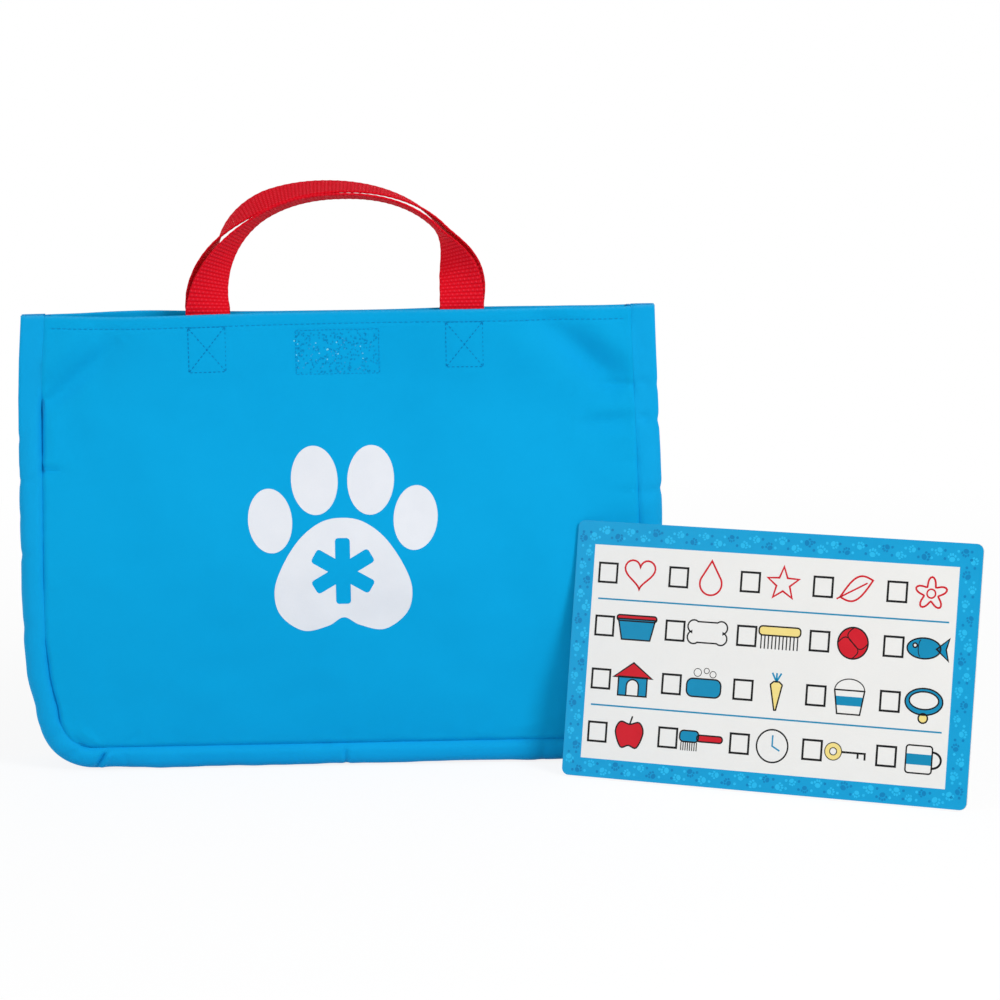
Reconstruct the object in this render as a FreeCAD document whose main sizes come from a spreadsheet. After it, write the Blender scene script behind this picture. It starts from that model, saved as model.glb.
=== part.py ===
import FreeCAD, Part
import Sketcher
import math
import os

# A child's fabric tote with two webbing handles, and the laminated checklist
# card that leans against it.  Millimetres.  +Z is up, +X is to the right of
# someone facing the bag, the front faces -Y.  The origin is on the floor in the
# middle of the bag's base.

V = FreeCAD.Vector
doc = FreeCAD.newDocument("ToyTote")
sheet = doc.addObject("Spreadsheet::Sheet", "Sizes")

SIZES = [
    # Bag
    ("panel_width", 332.0, "front and back panels, from side seam to side seam"),
    ("bag_height", 259.0, "floor to the top edge of the panels"),
    ("half_depth", 25.0, "middle of the bag to the front or back seams"),
    ("gusset_bulge", 13.5, "how far the gusset stands outside the seams"),
    ("gusset_flat", 26.0, "flat middle of the gusset, which the bag stands on"),
    ("corner_radius", 20.0, "seam at the two bottom corners"),
    ("cloth", 1.0, "thickness of the bag's cloth"),
    ("seam_gap", 0.3, "gap between the edges of cloth that meet in a seam"),
    ("bond_gap", 0.25, "gap between layers of cloth sewn face to face"),
    ("crown", 9.0, "how far the panel's middle swells past its seams"),
    ("crown_height", 80.0, "bottom seam to the fullest part of the panel"),
    ("pinch_drop", 35.0, "top edge to where the panels come together"),
    ("pinch_length", 117.0, "height over which the panels close in"),
    ("mouth_half", 3.2, "middle of the bag to the panel where the mouth is closed"),
    ("mouth_bow", 8.2, "middle of the bag to the panel where the mouth gapes beside the handles"),
    ("mouth_end", 4.4, "middle of the bag to the seams at the pinched top corners"),
    # Hems and seam bindings
    ("hem_width", 8.0, "height of the turned top hem"),
    ("hem_thickness", 1.0, "thickness of the turned top hem"),
    ("hem_end", 4.0, "side seam to the end of the hem"),
    ("binding_width", 8.0, "depth of the bound seam allowance inside the bag"),
    ("binding_thickness", 2.0, "thickness of the bound seam allowance"),
    ("binding_gap", 0.9, "panel's inner face to the binding"),
    # Hook and loop closure
    ("patch_length", 50.0, "closure patch along the mouth"),
    ("patch_width", 26.0, "closure patch up the panel"),
    ("patch_thickness", 1.6, "closure patch with its pile"),
    ("patch_drop", 10.5, "top edge to the top of the closure patch"),
    # Handles
    ("webbing_width", 25.0, "width of the handle webbing"),
    ("webbing_thickness", 1.5, "thickness of the handle webbing"),
    ("handle_spacing", 143.0, "between the middles of a handle's two ends"),
    ("tab_length", 35.0, "sewn end of the webbing inside the bag"),
    ("jog_length", 3.0, "step of the sewn end from the hem to the panel"),
    ("fold_gap", 0.4, "sewn end of the webbing to the loop above it"),
    ("front_rise", 64.3, "top edge to the crest of the front handle"),
    ("front_sway", 4.5, "crest of the front handle, to the right of its ends"),
    ("back_rise", 68.2, "top edge to the crest of the back handle"),
    ("back_lean", 7.4, "crest of the back handle, back from its ends"),
    ("back_spread", 5.9, "how far the back handle bows outside its ends"),
    # Card
    ("card_width", 234.0, "long side of the card"),
    ("card_height", 143.5, "short side of the card"),
    ("card_corner", 4.0, "corner radius of the card"),
    ("board_thickness", 1.0, "printed board of the card"),
    ("film_thickness", 0.3, "laminating film on each face of the card"),
    ("card_yaw", 24.7, "degrees the card is turned from the bag's front"),
    ("card_tilt", 12.5, "degrees the card leans back"),
    ("card_left", 122.2, "middle of the bag to the card's lower left corner"),
    ("lean_gap", 0.4, "bag's front panel to the card that leans on it"),
]
for row, (alias, value, note) in enumerate(SIZES, 1):
    sheet.set("A%d" % row, alias)
    sheet.set("B%d" % row, str(value))
    sheet.setAlias("B%d" % row, alias)
    sheet.set("C%d" % row, note)
doc.recompute()


class Size:
    """A length with the sheet expression that gives it."""

    def __init__(self, text, value):
        self.text, self.value = text, value

    def _join(self, other, sign, value):
        return Size("(%s %s %s)" % (self.text, sign, other.text), value)

    def __add__(self, other):
        other = plain(other)
        return self._join(other, "+", self.value + other.value)

    def __sub__(self, other):
        other = plain(other)
        return self._join(other, "-", self.value - other.value)

    def __mul__(self, other):
        other = plain(other)
        return self._join(other, "*", self.value * other.value)

    def __truediv__(self, other):
        other = plain(other)
        return self._join(other, "/", self.value / other.value)

    def __neg__(self):
        return Size("(0 - %s)" % self.text, -self.value)


def plain(number):
    return number if isinstance(number, Size) else Size(repr(float(number)), float(number))


def named(alias):
    return Size("Sizes.%s" % alias, float(sheet.get(alias)))


def val(alias):
    return float(sheet.get(alias))


ZERO = plain(0.0)
nodes = []


def new_body(name):
    body = doc.addObject("PartDesign::Body", name)
    body.Label = name
    nodes.append(body)
    return body


def new_feature(name, shape, place=None):
    feature = doc.addObject("Part::Feature", name)
    feature.Label = name
    feature.Shape = shape
    feature.Placement = place or FreeCAD.Placement()
    nodes.append(feature)
    return feature


def new_sketch(body, role, name, lift=None):
    sketch = body.newObject("Sketcher::SketchObject", name)
    plane = [f for f in body.Origin.OriginFeatures if f.Role == role][0]
    sketch.AttachmentSupport = [(plane, "")]
    sketch.MapMode = "FlatFace"
    if lift is not None:
        sketch.AttachmentOffset = FreeCAD.Placement(V(0, 0, lift.value), FreeCAD.Rotation())
        sketch.setExpression("AttachmentOffset.Base.z", lift.text)
    return sketch


def draw(sketch, points, bends=None, closed=True):
    """Lines through points given as sizes.  bends maps the index of a side to
    its radius and +1 or -1, for an arc that turns left or right."""
    bends = bends or {}
    count = len(points)
    sides = count if closed else count - 1
    for i in range(sides):
        a, b = points[i], points[(i + 1) % count]
        start, end = V(a[0].value, a[1].value, 0), V(b[0].value, b[1].value, 0)
        if i in bends:
            radius, turn = bends[i]
            chord = end - start
            across = V(-chord.y, chord.x, 0).normalize()
            rise = math.sqrt(max(radius.value ** 2 - chord.Length ** 2 / 4, 0.0))
            centre = (start + end) * 0.5 + across * (turn * rise)
            top = centre - across * (turn * radius.value)
            sketch.addGeometry(Part.Arc(start, top, end), False)
        else:
            sketch.addGeometry(Part.LineSegment(start, end), False)

    # An arc runs counterclockwise, so one that turns right starts at its far end.
    def ends(i):
        return (2, 1) if i in bends and bends[i][1] < 0 else (1, 2)

    for i in range(sides if closed else sides - 1):
        after = (i + 1) % sides
        sketch.addConstraint(Sketcher.Constraint("Coincident", i, ends(i)[1], after, ends(after)[0]))
    for i, point in enumerate(points):
        side, end = (i, ends(i)[0]) if i < sides else (i - 1, ends(i - 1)[1])
        for kind, size in zip(("DistanceX", "DistanceY"), point):
            n = sketch.addConstraint(Sketcher.Constraint(kind, -1, 1, side, end, size.value))
            sketch.setExpression("Constraints[%d]" % n, size.text)
    for i, (radius, turn) in bends.items():
        n = sketch.addConstraint(Sketcher.Constraint("Radius", i, radius.value))
        sketch.setExpression("Constraints[%d]" % n, radius.text)


def pad(body, sketch, length, middle=False):
    feature = body.newObject("PartDesign::Pad", sketch.Name + "_pad")
    feature.Profile = sketch
    feature.Length = length.value
    feature.setExpression("Length", length.text)
    feature.Midplane = middle
    return feature


# Seam line of the front and back panels: a U that follows the two sides and the
# bottom, round the two bottom corners.
seam_x = named("panel_width") / 2
seam_z = named("gusset_bulge")
corner = named("corner_radius")
corner_z = seam_z + corner
top_z = named("bag_height")
depth = named("half_depth")
flat = named("gusset_flat") / 2
bulge = named("gusset_bulge")
cloth = named("cloth")


# Gusset: one band of cloth round the sides and the bottom.  Its section rolls
# outward from each seam to a flat middle, in four steps of a quarter ellipse.
def gusset_section(sketch, side, seam):
    """side is 1 or -1 for a section that opens toward the middle of the bag,
    whose seams lie at a distance seam from it, and 0 for the bottom run."""
    def at(out, y):
        if side == 0:
            return (y, seam_z - out)
        return ((seam + out) if side > 0 else -(seam + out), y)

    def roll(inset):
        steps = [math.radians(90 * i / 4) for i in range(5)]
        return [((bulge - inset) * math.sin(a), flat + (depth - flat - inset) * math.cos(a)) for a in steps]

    outer, inner = roll(ZERO), roll(cloth)
    points = [at(out, -y) for out, y in outer] + [at(out, y) for out, y in outer[::-1]]
    points += [at(out, y) for out, y in inner] + [at(out, -y) for out, y in inner[::-1]]
    draw(sketch, points)


body = new_body("gusset_bottom")
for name, side in (("gusset_corner_right", 1), ("gusset_corner_left", -1)):
    section = new_sketch(body, "XY_Plane", name + "_section", corner_z)
    shift = (seam_x - corner) if side > 0 else -(seam_x - corner)
    section.AttachmentOffset = FreeCAD.Placement(V(shift.value, 0, corner_z.value), FreeCAD.Rotation())
    section.setExpression("AttachmentOffset.Base.x", shift.text)
    gusset_section(section, side, corner)
    turn = body.newObject("PartDesign::Revolution", name)
    turn.Profile = section
    turn.ReferenceAxis = (section, ["V_Axis"])
    turn.Angle = 90.0
    turn.Reversed = side < 0
    if side > 0:
        run = new_sketch(body, "YZ_Plane", "gusset_run_section", corner - seam_x)
        gusset_section(run, 0, ZERO)
        pad(body, run, (seam_x - corner) * 2)

# Front and back panels: full at mid height and drawn together at the mouth,
# where the gusset is pinched at both ends.
EDGE = val("panel_width") / 2 - val("seam_gap")
SEAM_Z = val("gusset_bulge")
TOP_Z = val("bag_height")
DEPTH = val("half_depth")
PINCH_END = TOP_Z - val("pinch_drop")
PINCH_START = PINCH_END - val("pinch_length")


def smooth(a, b, x):
    u = min(max((x - a) / (b - a), 0.0), 1.0)
    return u * u * (3 - 2 * u)


def blend(lower, upper, z):
    """A half depth that goes from the full bag to the closed mouth."""
    return lower + (upper - lower) * smooth(PINCH_START, PINCH_END, z)


def seam_depth(z):
    return blend(DEPTH, val("mouth_end"), z)


def mouth(x):
    """Half depth along the top edge: closed in the middle, open beside the
    handles and pinched at the ends."""
    x = abs(x) / EDGE
    return (val("mouth_half") + (val("mouth_bow") - val("mouth_half")) * smooth(0.14, 0.56, x)
            - (val("mouth_bow") - val("mouth_end")) * smooth(0.60, 1.0, x))


def half_depth_at(x, z):
    """Half depth of the bag at the panel's outer face."""
    rise = min(max((z - SEAM_Z) / val("crown_height"), 0.0), 1.0)
    full = DEPTH + val("crown") * math.sin(rise * math.pi / 2) * (1 - (x / EDGE) ** 2)
    return blend(full, mouth(x), z)


def slope_at(x, z):
    return half_depth_at(x + 0.5, z) - half_depth_at(x - 0.5, z)


def strip(z, half, outer, inner):
    """Level section of a sheet that lies between two depths from the panel's
    outer face, as long as half on each side."""
    def arc(inset, reverse):
        points = [V(half * i / 8, -half_depth_at(half * i / 8, z) + inset, z) for i in range(-8, 9)]
        curve = Part.BSplineCurve()
        curve.interpolate(points[::-1] if reverse else points)
        return curve.toShape()
    front, back = arc(outer, False), arc(inner, True)
    ends = [Part.makeLine(front.valueAt(front.LastParameter), back.valueAt(back.FirstParameter)),
            Part.makeLine(back.valueAt(back.LastParameter), front.valueAt(front.FirstParameter))]
    return Part.Wire([front, ends[0], back, ends[1]])


# Levels at which the side seams and the gusset bend.
PINCH_STEPS = 6
side_levels = [PINCH_START + (PINCH_END - PINCH_START) * i / PINCH_STEPS for i in range(PINCH_STEPS + 1)]
side_levels = [SEAM_Z + val("corner_radius")] + side_levels + [TOP_Z]


# Gusset sides: the section of the bottom run, flattened toward the mouth.
def side_section(side, z):
    d, out = seam_depth(z), val("gusset_bulge")
    run = val("gusset_flat") / 2 * d / DEPTH

    def roll(inset):
        steps = [math.radians(90 * i / 4) for i in range(5)]
        return [((out - inset) * math.sin(a), run + (d - run - inset) * math.cos(a)) for a in steps]

    outer, inner = roll(0.0), roll(val("cloth"))
    points = [(o, -y) for o, y in outer] + [(o, y) for o, y in outer[::-1]]
    points += [(o, y) for o, y in inner] + [(o, -y) for o, y in inner[::-1]]
    corners = [V(side * (val("panel_width") / 2 + o), y, z) for o, y in points]
    return Part.makePolygon(corners + corners[:1])


for name, side in (("gusset_left", -1), ("gusset_right", 1)):
    new_feature(name, Part.makeLoft([side_section(side, z) for z in side_levels], True, True))

# Bound seam allowances, which stand inside the bag along the front and back seams.
def binding_section(x, z, nx, nz, depth_here, side):
    near = depth_here - val("cloth") - val("binding_gap")
    far = max(near - val("binding_width"), 0.6)
    corners = []
    for y, back in ((near, val("binding_thickness")), (near, 0.0), (far, 0.0), (far, val("binding_thickness"))):
        d = val("seam_gap") + back
        corners.append(V(x - nx * d, side * y, z - nz * d))
    return Part.makePolygon(corners + corners[:1])


def seam_stations():
    """Points of the U-shaped seam with the outward direction there."""
    half, r = val("panel_width") / 2, val("corner_radius")
    run = [(-half, z, -1.0, 0.0) for z in side_levels[::-1]]
    for sign in (-1, 1):
        angles = [math.radians(90 * i / 6) for i in range(1, 7)]
        if sign > 0:
            angles = [math.pi / 2] + [math.pi / 2 - a for a in angles]
        run += [(sign * (half - r + r * math.cos(a)), SEAM_Z + r - r * math.sin(a), sign * math.cos(a), -math.sin(a))
                for a in angles]
    return run + [(half, z, 1.0, 0.0) for z in side_levels[1:]]


for name, side in (("front_seam_binding", -1), ("back_seam_binding", 1)):
    rings = [binding_section(x, z, nx, nz, seam_depth(z), side) for x, z, nx, nz in seam_stations()]
    new_feature(name, Part.makeLoft(rings, True, True))

TO_BACK = FreeCAD.Placement(V(), FreeCAD.Rotation(V(0, 0, 1), 180))

BOTTOM = SEAM_Z + val("seam_gap")
RADIUS = val("corner_radius") - val("seam_gap")
rows = 4
levels = [BOTTOM + (PINCH_START - BOTTOM) * i / rows for i in range(rows)] + side_levels[1:]
sheet_solid = Part.makeLoft([strip(z, EDGE, 0.0, val("cloth")) for z in levels], True, True)
k = RADIUS * (1 - math.sqrt(0.5))
outline = Part.Wire([
    Part.makeLine(V(-EDGE, -300, TOP_Z + 1), V(-EDGE, -300, BOTTOM + RADIUS)),
    Part.Arc(V(-EDGE, -300, BOTTOM + RADIUS), V(-EDGE + k, -300, BOTTOM + k), V(-EDGE + RADIUS, -300, BOTTOM)).toShape(),
    Part.makeLine(V(-EDGE + RADIUS, -300, BOTTOM), V(EDGE - RADIUS, -300, BOTTOM)),
    Part.Arc(V(EDGE - RADIUS, -300, BOTTOM), V(EDGE - k, -300, BOTTOM + k), V(EDGE, -300, BOTTOM + RADIUS)).toShape(),
    Part.makeLine(V(EDGE, -300, BOTTOM + RADIUS), V(EDGE, -300, TOP_Z + 1)),
    Part.makeLine(V(EDGE, -300, TOP_Z + 1), V(-EDGE, -300, TOP_Z + 1)),
])
panel = sheet_solid.common(Part.Face(outline).extrude(V(0, 600, 0))).Solids[0]
new_feature("front_panel", panel)
new_feature("back_panel", panel, TO_BACK)

# Turned hems along the mouth.
hem_out = val("cloth") + val("bond_gap")
hem_in = hem_out + val("hem_thickness")
hem_half = val("panel_width") / 2 - val("hem_end")
hem = Part.makeLoft([strip(z, hem_half, hem_out, hem_in) for z in (TOP_Z - val("hem_width"), TOP_Z)], True, False)
new_feature("front_hem", hem)
new_feature("back_hem", hem, TO_BACK)

# Hook and loop patches that hold the mouth closed.
patch_y = named("mouth_half") - cloth - named("bond_gap")
patch_top = top_z - named("patch_drop")
patch_half = named("patch_length") / 2
for name, side in (("hook_patch", -1), ("loop_patch", 1)):
    body = new_body(name)
    sketch = new_sketch(body, "XY_Plane", name + "_outline", patch_top - named("patch_width"))
    near, far = patch_y, patch_y - named("patch_thickness")
    if side < 0:
        near, far = -near, -far
    draw(sketch, [(-patch_half, near), (patch_half, near), (patch_half, far), (-patch_half, far)])
    pad(body, sketch, named("patch_width"))

# Sewn ends of the handles, inside the bag.  Each lies over the hem and steps
# back to the panel below it.
web_w, web_t = named("webbing_width"), named("webbing_thickness")
step = named("hem_thickness") + named("bond_gap")
hem_low = named("hem_width") + named("bond_gap")
jog_low = hem_low + named("jog_length")
tab_low = named("tab_length")
X_TAB = val("handle_spacing") / 2


def tab_frame(side, facing):
    """Place of a sewn end: on the panel's inner face at the top edge."""
    x = side * X_TAB
    y = -half_depth_at(x, TOP_Z) + val("cloth") + val("bond_gap")
    turn = math.degrees(math.atan(slope_at(x, TOP_Z)))
    frame = FreeCAD.Placement(V(x, y, TOP_Z), FreeCAD.Rotation(V(0, 0, 1), -turn))
    if facing > 0:
        frame = TO_BACK.multiply(frame)
    return frame


for name, side, facing in (("front_tab_left", -1, -1), ("front_tab_right", 1, -1),
                           ("back_tab_left", 1, 1), ("back_tab_right", -1, 1)):
    body = new_body(name)
    sketch = new_sketch(body, "YZ_Plane", name + "_profile")
    draw(sketch, [(step, ZERO), (step, -hem_low), (ZERO, -jog_low), (ZERO, -tab_low),
                  (web_t, -tab_low), (web_t, -jog_low), (step + web_t, -hem_low), (step + web_t, ZERO)])
    pad(body, sketch, web_w, middle=True)
    body.Placement = tab_frame(side, facing)


# Handle loops.  The webbing leaves the mouth flat to the panel and turns on
# edge as it arches over, so that a hand closes round it.
# The fullness of an arch is 1 for an ellipse, and an ease below 1 begins the
# twist at once.  The degrees are the turn at the left and at the right of the
# crest, and where round the arch these are reached.
def handle(facing, rise, sway, lean, spread, fullness, ease, degrees, reached):
    (turn, turn_on), (full_from, full_to) = degrees, reached
    lift = V(0, val("hem_thickness") + val("bond_gap") + val("webbing_thickness") / 2, val("fold_gap"))
    if facing < 0:
        left, right = tab_frame(-1, facing), tab_frame(1, facing)
    else:
        left, right = tab_frame(1, facing), tab_frame(-1, facing)
    start, end = left.multVec(lift), right.multVec(lift)
    half = (end.x - start.x) / 2
    splay = math.radians(abs(left.Rotation.toEuler()[0]) % 180)
    splay = min(splay, math.pi - splay) * -facing

    def centre(a):
        c, s = math.cos(a), math.sin(a)
        x = -math.copysign(abs(c) ** fullness, c) * half
        z = abs(s) ** fullness
        bow = sway * smooth(0, 1, z) - math.sin(2 * a) * spread
        y = start.y + (end.y - start.y) * a / math.pi + lean * smooth(0, 1, z)
        return V(x + bow, y, start.z + rise * z)

    sections = []
    steps = 60
    for i in range(steps + 1):
        a = math.pi * i / steps
        ahead, behind = centre(min(a + 0.02, math.pi)), centre(max(a - 0.02, 0.0))
        along = (ahead - behind).normalize()
        if i in (0, steps):
            along = V(0, 0, 1 if i == 0 else -1)
        inward = V(0, 1, 0).cross(along).normalize()
        sideways = along.cross(inward).normalize()
        deg = math.degrees(a)
        amount = smooth(0, full_from, deg) ** ease if deg < full_from else 1 - smooth(full_to, 180, deg)
        crest = min(max((deg - full_from) / (full_to - full_from), 0.0), 1.0)
        angle = math.radians(turn + (turn_on - turn) * crest) * amount
        across = inward * math.cos(angle) + sideways * math.sin(angle)
        if amount < 1:
            # the ends keep to the slant of the panel
            across = across + V(0, splay * (1 - amount), 0)
            across.normalize()
        across = (across - along * across.dot(along)).normalize()
        thick = along.cross(across).normalize()
        p, w, t = centre(a), across * (val("webbing_width") / 2), thick * (val("webbing_thickness") / 2)
        sections.append([p - w - t, p + w - t, p + w + t, p - w + t])

    # The twist between two sections is laid out in flat triangles.
    faces = [Part.Face(Part.makePolygon(s + s[:1])) for s in (sections[0], sections[-1])]
    for s, n in zip(sections, sections[1:]):
        for i in range(4):
            j = (i + 1) % 4
            for corners in ((s[i], s[j], n[j]), (s[i], n[j], n[i])):
                faces.append(Part.Face(Part.makePolygon(list(corners) + [corners[0]])))
    shell = Part.makeShell(faces)
    shell.sewShape()
    solid = Part.makeSolid(shell)
    if solid.Volume < 0:
        solid.reverse()
    return solid


new_feature("front_handle_strap", handle(
    -1, val("front_rise"), val("front_sway"), 0.0, 0.0,
    fullness=0.89, ease=0.35, degrees=(77.4, 81.8), reached=(59.3, 136.5)))
new_feature("back_handle_strap", handle(
    1, val("back_rise"), 0.0, val("back_lean"), val("back_spread"),
    fullness=0.95, ease=0.41, degrees=(109.1, 80.7), reached=(63.9, 139.2)))

# Laminated card: a printed board between two films.
YAW, TILT = math.radians(val("card_yaw")), math.radians(val("card_tilt"))
along = V(math.cos(YAW), -math.sin(YAW), 0)
out = V(-math.sin(YAW), -math.cos(YAW), 0)
up = V(0, 0, math.cos(TILT)) - out * math.sin(TILT)
face = along.cross(up)
stack = val("board_thickness") + 2 * val("film_thickness")
# lowest edge of the back face stands on the floor, and the left edge of that
# face leans on the front panel below its rounded upper corner
card_z = stack * math.sin(TILT)
r = val("card_corner")
lean_a = math.atan2(up.y, -along.y)
touches = [along * (r - r * math.cos(lean_a)) + up * (val("card_height") - r + r * math.sin(lean_a))]
touches += [up * ((val("card_height") - r) * i / 8) for i in range(3, 9)]


def leaning_y(touch):
    point = V(val("card_left"), 0, card_z) + touch - face * stack
    return -half_depth_at(point.x, point.z) - val("lean_gap") - point.y


card_y = min(leaning_y(touch) for touch in touches)
card_frame = FreeCAD.Placement(FreeCAD.Matrix(along.x, up.x, face.x, val("card_left"),
                                              along.y, up.y, face.y, card_y,
                                              along.z, up.z, face.z, card_z, 0, 0, 0, 1))
wide, high, round_r = named("card_width"), named("card_height"), named("card_corner")
board, film = named("board_thickness"), named("film_thickness")
for name, low, thick in (("card_back_film", -(film * 2 + board), film), ("card_board", -(film + board), board),
                         ("card_front_film", -film, film)):
    body = new_body(name)
    sketch = new_sketch(body, "XY_Plane", name + "_outline", low)
    draw(sketch, [(round_r, ZERO), (wide - round_r, ZERO), (wide, round_r), (wide, high - round_r),
                  (wide - round_r, high), (round_r, high), (ZERO, high - round_r), (ZERO, round_r)],
         {1: (round_r, 1), 3: (round_r, 1), 5: (round_r, 1), 7: (round_r, 1)})
    pad(body, sketch, thick)
    body.Placement = card_frame

doc.recompute()

for thing in doc.Objects:
    if "Invalid" in thing.State or "Error" in thing.State:
        raise RuntimeError("%s did not build: %s" % (thing.Label, thing.State))
for node in nodes:
    if node.Shape.isNull() or not node.Shape.isValid() or len(node.Shape.Solids) != 1:
        raise RuntimeError("%s is not one valid solid" % node.Label)

os.makedirs("parts", exist_ok=True)
for node in nodes:
    node.Shape.exportStep("parts/%s.step" % node.Label)
    box = node.Shape.BoundBox
    print("%-20s %9.1f mm3  x %7.1f %7.1f  y %7.1f %7.1f  z %7.1f %7.1f" % (
        node.Label, node.Shape.Volume, box.XMin, box.XMax, box.YMin, box.YMax, box.ZMin, box.ZMax))
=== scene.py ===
"""Child's fabric tote with webbing handles and a laminated checklist card."""
from math import atan, copysign, cos, degrees, hypot, pi, radians, sin, tan, tau

import bmesh
import bpy
import numpy as np
from mathutils import Matrix, Vector
from mathutils.geometry import delaunay_2d_cdt


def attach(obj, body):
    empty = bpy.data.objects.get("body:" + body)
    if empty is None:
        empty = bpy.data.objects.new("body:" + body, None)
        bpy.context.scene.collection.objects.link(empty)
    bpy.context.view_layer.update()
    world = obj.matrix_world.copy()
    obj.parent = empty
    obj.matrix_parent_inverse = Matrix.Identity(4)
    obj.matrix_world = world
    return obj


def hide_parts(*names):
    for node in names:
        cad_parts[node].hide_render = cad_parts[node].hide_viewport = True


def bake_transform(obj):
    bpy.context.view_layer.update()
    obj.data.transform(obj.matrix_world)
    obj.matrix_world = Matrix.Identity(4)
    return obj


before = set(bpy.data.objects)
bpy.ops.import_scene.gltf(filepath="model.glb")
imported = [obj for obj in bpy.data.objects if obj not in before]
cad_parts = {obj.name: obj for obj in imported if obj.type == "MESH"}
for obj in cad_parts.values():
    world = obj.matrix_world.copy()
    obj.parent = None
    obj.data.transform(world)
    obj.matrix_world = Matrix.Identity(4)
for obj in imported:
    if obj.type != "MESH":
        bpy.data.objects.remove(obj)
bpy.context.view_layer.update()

# Lengths below are millimetres in the shared frame; MM turns them into metres.
MM = 0.001
UV_SCALE = 0.01
SEAM_X, SEAM_Z, CORNER, TOP = 166.0, 13.5, 20.0, 259.0
EDGE, BOTTOM, RADIUS = 165.95, 13.55, 19.95
DEPTH, CLOTH, BOND = 25.0, 1.0, 0.25
BULGE, FLAT = 13.5, 13.0
CROWN, CROWN_HEIGHT = 9.0, 80.0
MOUTH_HALF, MOUTH_BOW, MOUTH_END = 3.2, 8.2, 4.4
PINCH_LOW, PINCH_HIGH = 107.0, 224.0
X_TAB, WEB_T = 71.5, 1.5
PICK_WIDTH, PICK_PITCH = 1.3, 4.2
CARD_W, CARD_H, CARD_YAW, CARD_TILT = 234.0, 143.5, 24.7, 12.5
FRONT, BACK = -1, 1
BODY = {FRONT: "bag", BACK: "back_wall"}
WORD = {FRONT: "front", BACK: "back"}
HANDLE = {FRONT: "front_handle", BACK: "back_handle"}


# Small maths

def smooth(a, b, x):
    """0 before a and 1 past b, with a soft step between."""
    u = np.clip((x - a) / (b - a), 0.0, 1.0)
    return u * u * (3 - 2 * u)


def hump(distance, width):
    return np.exp(-(distance / width) ** 2)


def unit(v):
    size = np.linalg.norm(v, axis=-1, keepdims=True)
    return v / np.where(size > 0, size, 1)


def lengths(points):
    """Length along a line at each of its points."""
    steps = np.linalg.norm(np.diff(np.array(points), axis=0), axis=1)
    return np.concatenate([[0], np.cumsum(steps)])


def between(at, run, values):
    """Rows of values at places along a run."""
    return np.stack([np.interp(at, run, column) for column in np.array(values).T], -1)


def swell(seed, length, x, z):
    """Seeded soft waves of about that length, roughly from -1 to 1."""
    rng = np.random.RandomState(seed)
    total = np.zeros(np.broadcast(x, z).shape)
    for _ in range(11):
        turn = rng.uniform(0, tau)
        size = length * rng.uniform(0.7, 1.5)
        phase = rng.uniform(0, tau)
        total += np.sin((x * cos(turn) + z * sin(turn)) * tau / size + phase)
    return total / 4.5


def to_line(line, x, z):
    """Share of the way along a line (x0, z0, x1, z1), and the distance from it."""
    x0, z0, x1, z1 = line
    dx, dz = x1 - x0, z1 - z0
    t = np.clip(((x - x0) * dx + (z - z0) * dz) / (dx * dx + dz * dz), 0, 1)
    return t, np.hypot(x - x0 - t * dx, z - z0 - t * dz)


def creased(creases, x, z):
    """Height of soft ridges and valleys drawn as (x0, z0, x1, z1, width, height)."""
    total = np.zeros(np.broadcast(x, z).shape)
    for *line, width, height in creases:
        t, away = to_line(line, x, z)
        total += height * np.sin(pi * t) ** 0.7 * hump(away, width)
    return total


# Shape of the panels. x runs to the right of someone facing that side of the
# bag, and the depth is measured outward from the middle of the bag.

def closing(lower, upper, z):
    """A half depth that goes from the full bag to the closed mouth."""
    return lower + (upper - lower) * smooth(PINCH_LOW, PINCH_HIGH, z)


def mouth(x):
    """Half depth along the top edge: closed in the middle, open beside the
    handles and pinched at the ends."""
    x = np.abs(x) / EDGE
    return (MOUTH_HALF + (MOUTH_BOW - MOUTH_HALF) * smooth(0.14, 0.56, x)
            - (MOUTH_BOW - MOUTH_END) * smooth(0.60, 1.0, x))


def half_depth(x, z):
    rise = np.clip((z - SEAM_Z) / CROWN_HEIGHT, 0, 1)
    full = DEPTH + CROWN * np.sin(rise * pi / 2) * (1 - (x / EDGE) ** 2)
    return closing(full, mouth(x), z)


def slope(x, z):
    return half_depth(x + 0.5, z) - half_depth(x - 0.5, z)


def edge_distance(x, z):
    """Distance inside the sewn U of the sides and the bottom."""
    in_x, in_z = np.abs(x) - (EDGE - RADIUS), (BOTTOM + RADIUS) - z
    round_off = RADIUS - np.hypot(np.maximum(in_x, 0), np.maximum(in_z, 0))
    return round_off - np.minimum(np.maximum(in_x, in_z), 0)


def box(x0, y0, x1, y1):
    return [(x0, y0), (x1, y0), (x1, y1), (x0, y1)]


def box_cross(x0, z0, x1, z1):
    """Lines of a sewn box, and then of the cross in it."""
    corners = box(x0, z0, x1, z1)
    sides = [corners[i] + corners[(i + 1) % 4] for i in range(4)]
    return sides + [(x0, z0, x1, z1), (x0, z1, x1, z0)]


HEM_Z, HEM_END = 252.0, 162.0
SEWN_X, SEWN_HALF, SEWN_LOW, SEWN_HIGH = 72.6, 10.4, 226.2, 251.8
TAB_LINES = [box_cross(s * SEWN_X - SEWN_HALF, SEWN_LOW, s * SEWN_X + SEWN_HALF, SEWN_HIGH) for s in (-1, 1)]
PATCH_LINES = box_cross(-22.6, 223.2, 24.4, 248.4)[:4]
HEM_LINE = (-HEM_END, HEM_Z, HEM_END, HEM_Z)
SEWN_LINES = TAB_LINES[0] + TAB_LINES[1] + PATCH_LINES + [HEM_LINE]

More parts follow.
